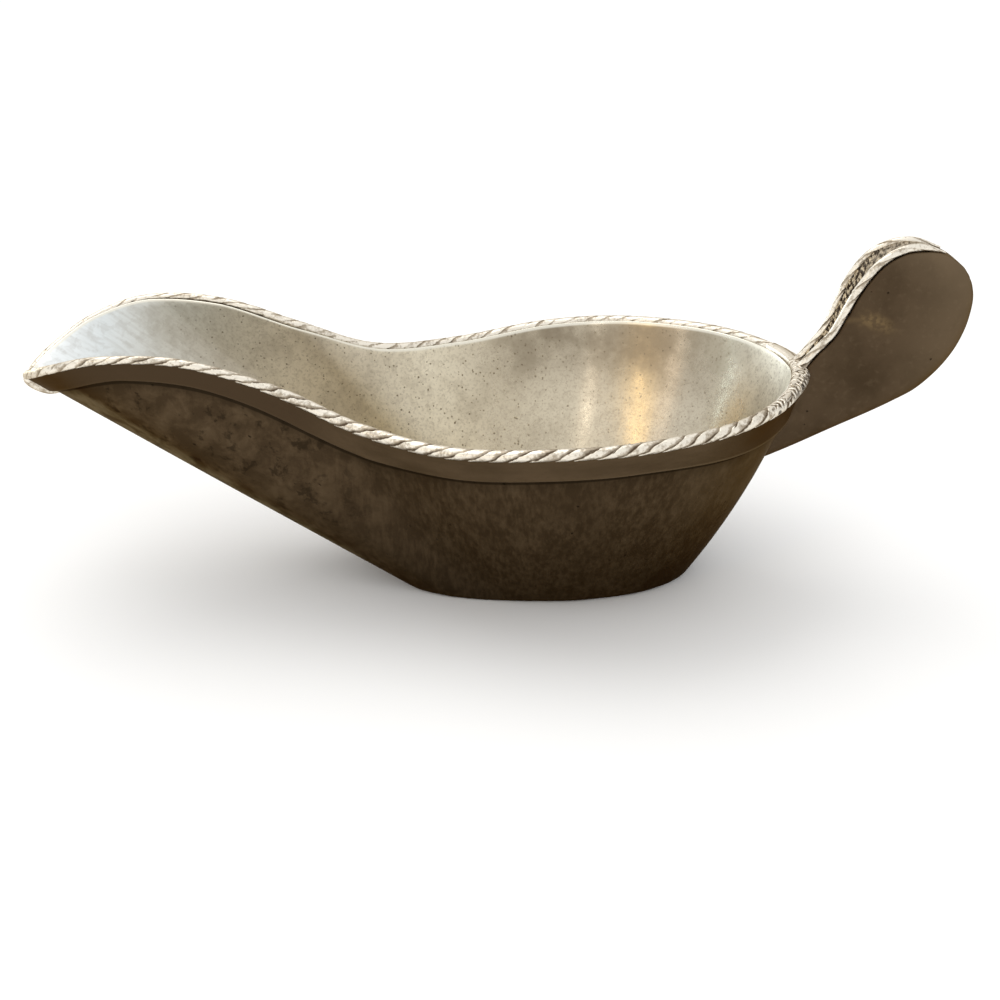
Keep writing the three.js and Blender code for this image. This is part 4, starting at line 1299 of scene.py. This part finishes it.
silver, tree, place = new_metal("silver_inside")
x, y, z = axes(place)
clouds = cloud(place, 75, 6, 0.6)
grain = cloud(place, 1500, 4, 0.65)
blotches = cloud(place, 420, 4, 0.6, 0.3)
scuffs = cloud(place, (420, 1400, 1400), 3)
brushed = cloud(surface_place(tree), (700, 120, 1), 3)
far_side = times(between(x, -0.026, 0.002), between(x, 0.050, 0.032), between(z, 0.028, 0.043))
tarnish = times(far_side, between(clouds, 0.34, 0.62, 0.42, 0.9))
dots = larger(times(specks(place, 440, 0.16, 0.45), 0.85), times(specks(place, 1100, 0.36, 0.3), 0.75))
torn = between(cloud(place, 1300, 3), 0.40, 0.56)
dots = times(dots, torn, between(x, -0.1, -0.08), between(x, 0.02, -0.02, 0.55, 1.0))
colour = layered(
    # the ramp carries painted reflections: cool white in the spout, bright at the back
    ramp(x, SILVER_AND_SHEEN_ALONG),
    (tarnish, SILVER_GREY),
    (between(clouds, 0.5, 0.7, 0.0, 0.22), SILVER_GREY),
    (times(between(grain, 0.48, 0.66, 0.0, 0.32), between(x, -0.11, -0.07)), SILVER_GREY),
    (between(blotches, 0.48, 0.62, 0.0, 0.15), SILVER_GREY),
    (dots, PIT),
    (times(between(brushed, 0.42, 0.66, 0.0, 0.15), between(x, -0.060, -0.090)), SILVER_GREY),
    # painted highlight: a bright line along the rounded edge inside the rope
    (between(mark(tree, "inner_way"), 1.3, 0.7, 0.0, 0.8), INNER_EDGE_HIGHLIGHT))
matt = larger(between(x, 0.0, -0.04, 0.0, 0.18), between(x, 0.046, 0.056, 0.0, 0.26), times(tarnish, 0.07))
roughness = plus(between(clouds, 0.3, 0.7, 0.19, 0.28), matt)
height = plus(times(scuffs, 0.2), times(brushed, 0.25), times(grain, 0.06), times(dots, -0.8))
set_surface(silver, colour, roughness, height, SILVER_RELIEF)

bowl.data.materials.append(brown)
bowl.data.materials.append(silver)
paint_from_column(bowl, wall_net.shape[1], outer_count)
plate.data.materials.append(silver)
print("inside:", len(tree.nodes), "nodes")

# %% [markdown]
# The ropes and the pad are rubbed bright on every crest. The dark in every groove and the dull slope below
# each crest are painted shade: a bright metal all over would need the grooves in shadow, and in soft light
# there is almost none. The mark that was kept with the shape tells crest from groove exactly, and clouds of
# two sizes break its edge up.

# %% Bright ropes
ROPE_BRIGHT = screen(238, 231, 217)
ROPE_DULL_AND_SHADE = screen(172, 160, 142)
ROPE_GROOVE_SHADE = screen(92, 78, 62)
ROPE_EDGE = screen(190, 178, 160)
ROPE_RELIEF = 0.12

bright, tree, place = new_metal("bright_rope", ROPE_EDGE)
wear = cloud(place, 260, 5, 0.65)
fine_wear = cloud(place, 1500, 3, 0.6)
hatched = mark(tree, "hatched")
height_on_strand = plus(mark(tree, "crest"), between(wear, 0.3, 0.7, -0.2, 0.14),
                        between(fine_wear, 0.35, 0.65, 0.08, -0.08), times(hatched, 0.2))
deep_pits = times(specks(place, 520, 0.36, 0.45), hatched)
colour = layered(
    # painted shade: the groove colour and the dull slope below each crest
    ROPE_GROOVE_SHADE,
    (between(height_on_strand, 0.05, 0.62), ROPE_DULL_AND_SHADE),
    (between(height_on_strand, 0.62, 0.94), ROPE_BRIGHT),
    (between(fine_wear, 0.60, 0.70, 0.0, 0.5), ROPE_DULL_AND_SHADE),
    (times(deep_pits, 0.85), BROWN_STAIN_AND_SHADE))
roughness = between(height_on_strand, 0.2, 0.9, 0.55, 0.36)
set_surface(bright, colour, roughness, plus(wear, times(fine_wear, 0.5)), ROPE_RELIEF)
for piece in (rope_left, rope_right, lip, saddle, *edge_ropes):
    piece.data.materials.append(bright)
print("ropes:", len(tree.nodes), "nodes")

# %% [markdown]
# The band under the rope has a thinner brown, darker towards the spout and the back, with a paler line of
# painted highlight along its rounded lower edge. Its clouds lie on the band's own map and so run along it.

# %% Worn band
BAND = screen(95, 79, 60)
BAND_EDGE_HIGHLIGHT = screen(118, 102, 80)
BAND_DARK = screen(79, 65, 48)
BAND_BROWN = screen(70, 56, 41)
BAND_RELIEF = 0.02

worn, tree, place = new_metal("worn_band", BROWN_EDGE)
x, y, z = axes(place)
clouds = cloud(surface_place(tree), (60, 220, 1), 5, 0.6)
fine = cloud(place, 900, 3)
lower_edge_highlight = between(mark(tree, "up"), 0.75, 0.3, 0.0, 0.5)
colour = layered(
    BAND_DARK,
    (between(clouds, 0.3, 0.7), BAND),
    (between(fine, 0.55, 0.75, 0.0, 0.3), BAND_DARK),
    (larger(between(x, -0.044, -0.058, 0.0, 0.85), between(x, 0.030, 0.048)), BAND_BROWN),
    # painted highlight: a paler line along the rounded lower edge
    (times(lower_edge_highlight, between(x, 0.0, 0.03, 0.2, 1.0)), BAND_EDGE_HIGHLIGHT))
set_surface(worn, colour, between(clouds, 0.3, 0.7, 0.46, 0.58), fine, BAND_RELIEF)
collar.data.materials.append(worn)
print("band:", len(tree.nodes), "nodes")

# %% [markdown]
# The leaf of the handle is handled most, so its brown is thin and even, with a few dark pits in the
# casting. A painted highlight makes it a little paler towards the top and its outer edge, where its face
# rounds over. In its upper half lies a painted reflection, a golden patch with a thin pale arc, both at one
# distance from a centre; what it reflects is not known.

# %% Thin brown on the leaf
LEAF = screen(86, 71, 54)
LEAF_DARK = screen(68, 55, 40)
LEAF_PALE_AND_SHEEN = screen(124, 107, 85)
LEAF_REFLECTION = screen(134, 112, 78)
LEAF_RELIEF = 0.06
REFLECTION_CENTRE = (0.0705, 0.0, 0.0560)
REFLECTION_RADIUS = 0.0088

thin, tree, place = new_metal("thin_brown_leaf", BROWN_EDGE)
x, y, z = axes(place)
clouds = cloud(place, 60, 5, 0.55)
mottle = cloud(place, 230, 5, 0.65, 0.3)
fine = cloud(place, 700, 3)
high = between(plus(z, times(x, 0.5)), 0.112, 0.132)
flat_place = add_node(tree, "VectorMath", {0: place, 1: (1, 0, 1)}, operation="MULTIPLY").outputs[0]
inputs = {0: flat_place, 1: REFLECTION_CENTRE}
reflection_way = add_node(tree, "VectorMath", inputs, operation="DISTANCE").outputs["Value"]
from_arc = calculate("ABSOLUTE", calculate("SUBTRACT", reflection_way, REFLECTION_RADIUS), 0.0)
arc = between(from_arc, 0.0012, 0.0, 0.0, 0.22)
patch = times(between(from_arc, 0.0034, 0.0), between(x, 0.0685, 0.0735, 0.0, 0.65),
              between(fine, 0.40, 0.58, 0.25, 1.0))
leaf_dots = specks(place, 260, 0.10)
colour = layered(
    LEAF_DARK,
    (between(clouds, 0.35, 0.65), LEAF),
    (between(mottle, 0.52, 0.68, 0.0, 0.4), LEAF_DARK),
    (between(fine, 0.52, 0.8, 0.0, 0.16), LEAF_PALE_AND_SHEEN),
    # painted highlight: paler towards the outer edge and along the top
    (times(between(x, 0.074, 0.097), between(z, 0.030, 0.050, 0.0, 0.42)), LEAF_PALE_AND_SHEEN),
    (times(high, between(clouds, 0.3, 0.7, 0.4, 0.85)), LEAF_PALE_AND_SHEEN),
    # painted reflection: a golden patch and a thin pale arc
    (times(larger(arc, patch), between(z, 0.0600, 0.0655)), LEAF_REFLECTION),
    (times(leaf_dots, 0.7), BROWN_STAIN_AND_SHADE))
height = plus(times(fine, 0.25), times(leaf_dots, -2.0))
set_surface(thin, colour, between(clouds, 0.3, 0.7, 0.42, 0.54), height, LEAF_RELIEF)
for shell in shells:
    shell.data.materials.append(thin)
print("leaf:", len(tree.nodes), "nodes")

# %% [markdown]
# The strip is as dark as the outside of the bowl, with bright metal only on its highest grains, and
# rubbed dull and pale over the top of the handle. The grains' height comes as a mark from the net, so
# that the colour fits the real pits.

# %% Pitted strip
STRIP_DARK = screen(52, 39, 26)
STRIP_HIGH = screen(176, 160, 132)
STRIP_RELIEF = 0.1

pitted, tree, place = new_metal("pitted_strip")
grains = cloud(place, 900, 3)
grain_height = plus(mark(tree, "crest"), between(grains, 0.3, 0.7, -0.2, 0.2))
colour = layered(
    STRIP_DARK,
    (between(grain_height, 0.40, 0.80), STRIP_HIGH),
    (times(mark(tree, "rubbed"), between(grain_height, 0.1, 0.6, 0.25, 0.9)), ROPE_DULL_AND_SHADE))
set_surface(pitted, colour, between(grain_height, 0.2, 0.9, 0.7, 0.4), grains, STRIP_RELIEF)
strip.data.materials.append(pitted)
print("finishes:", len(bpy.data.materials))
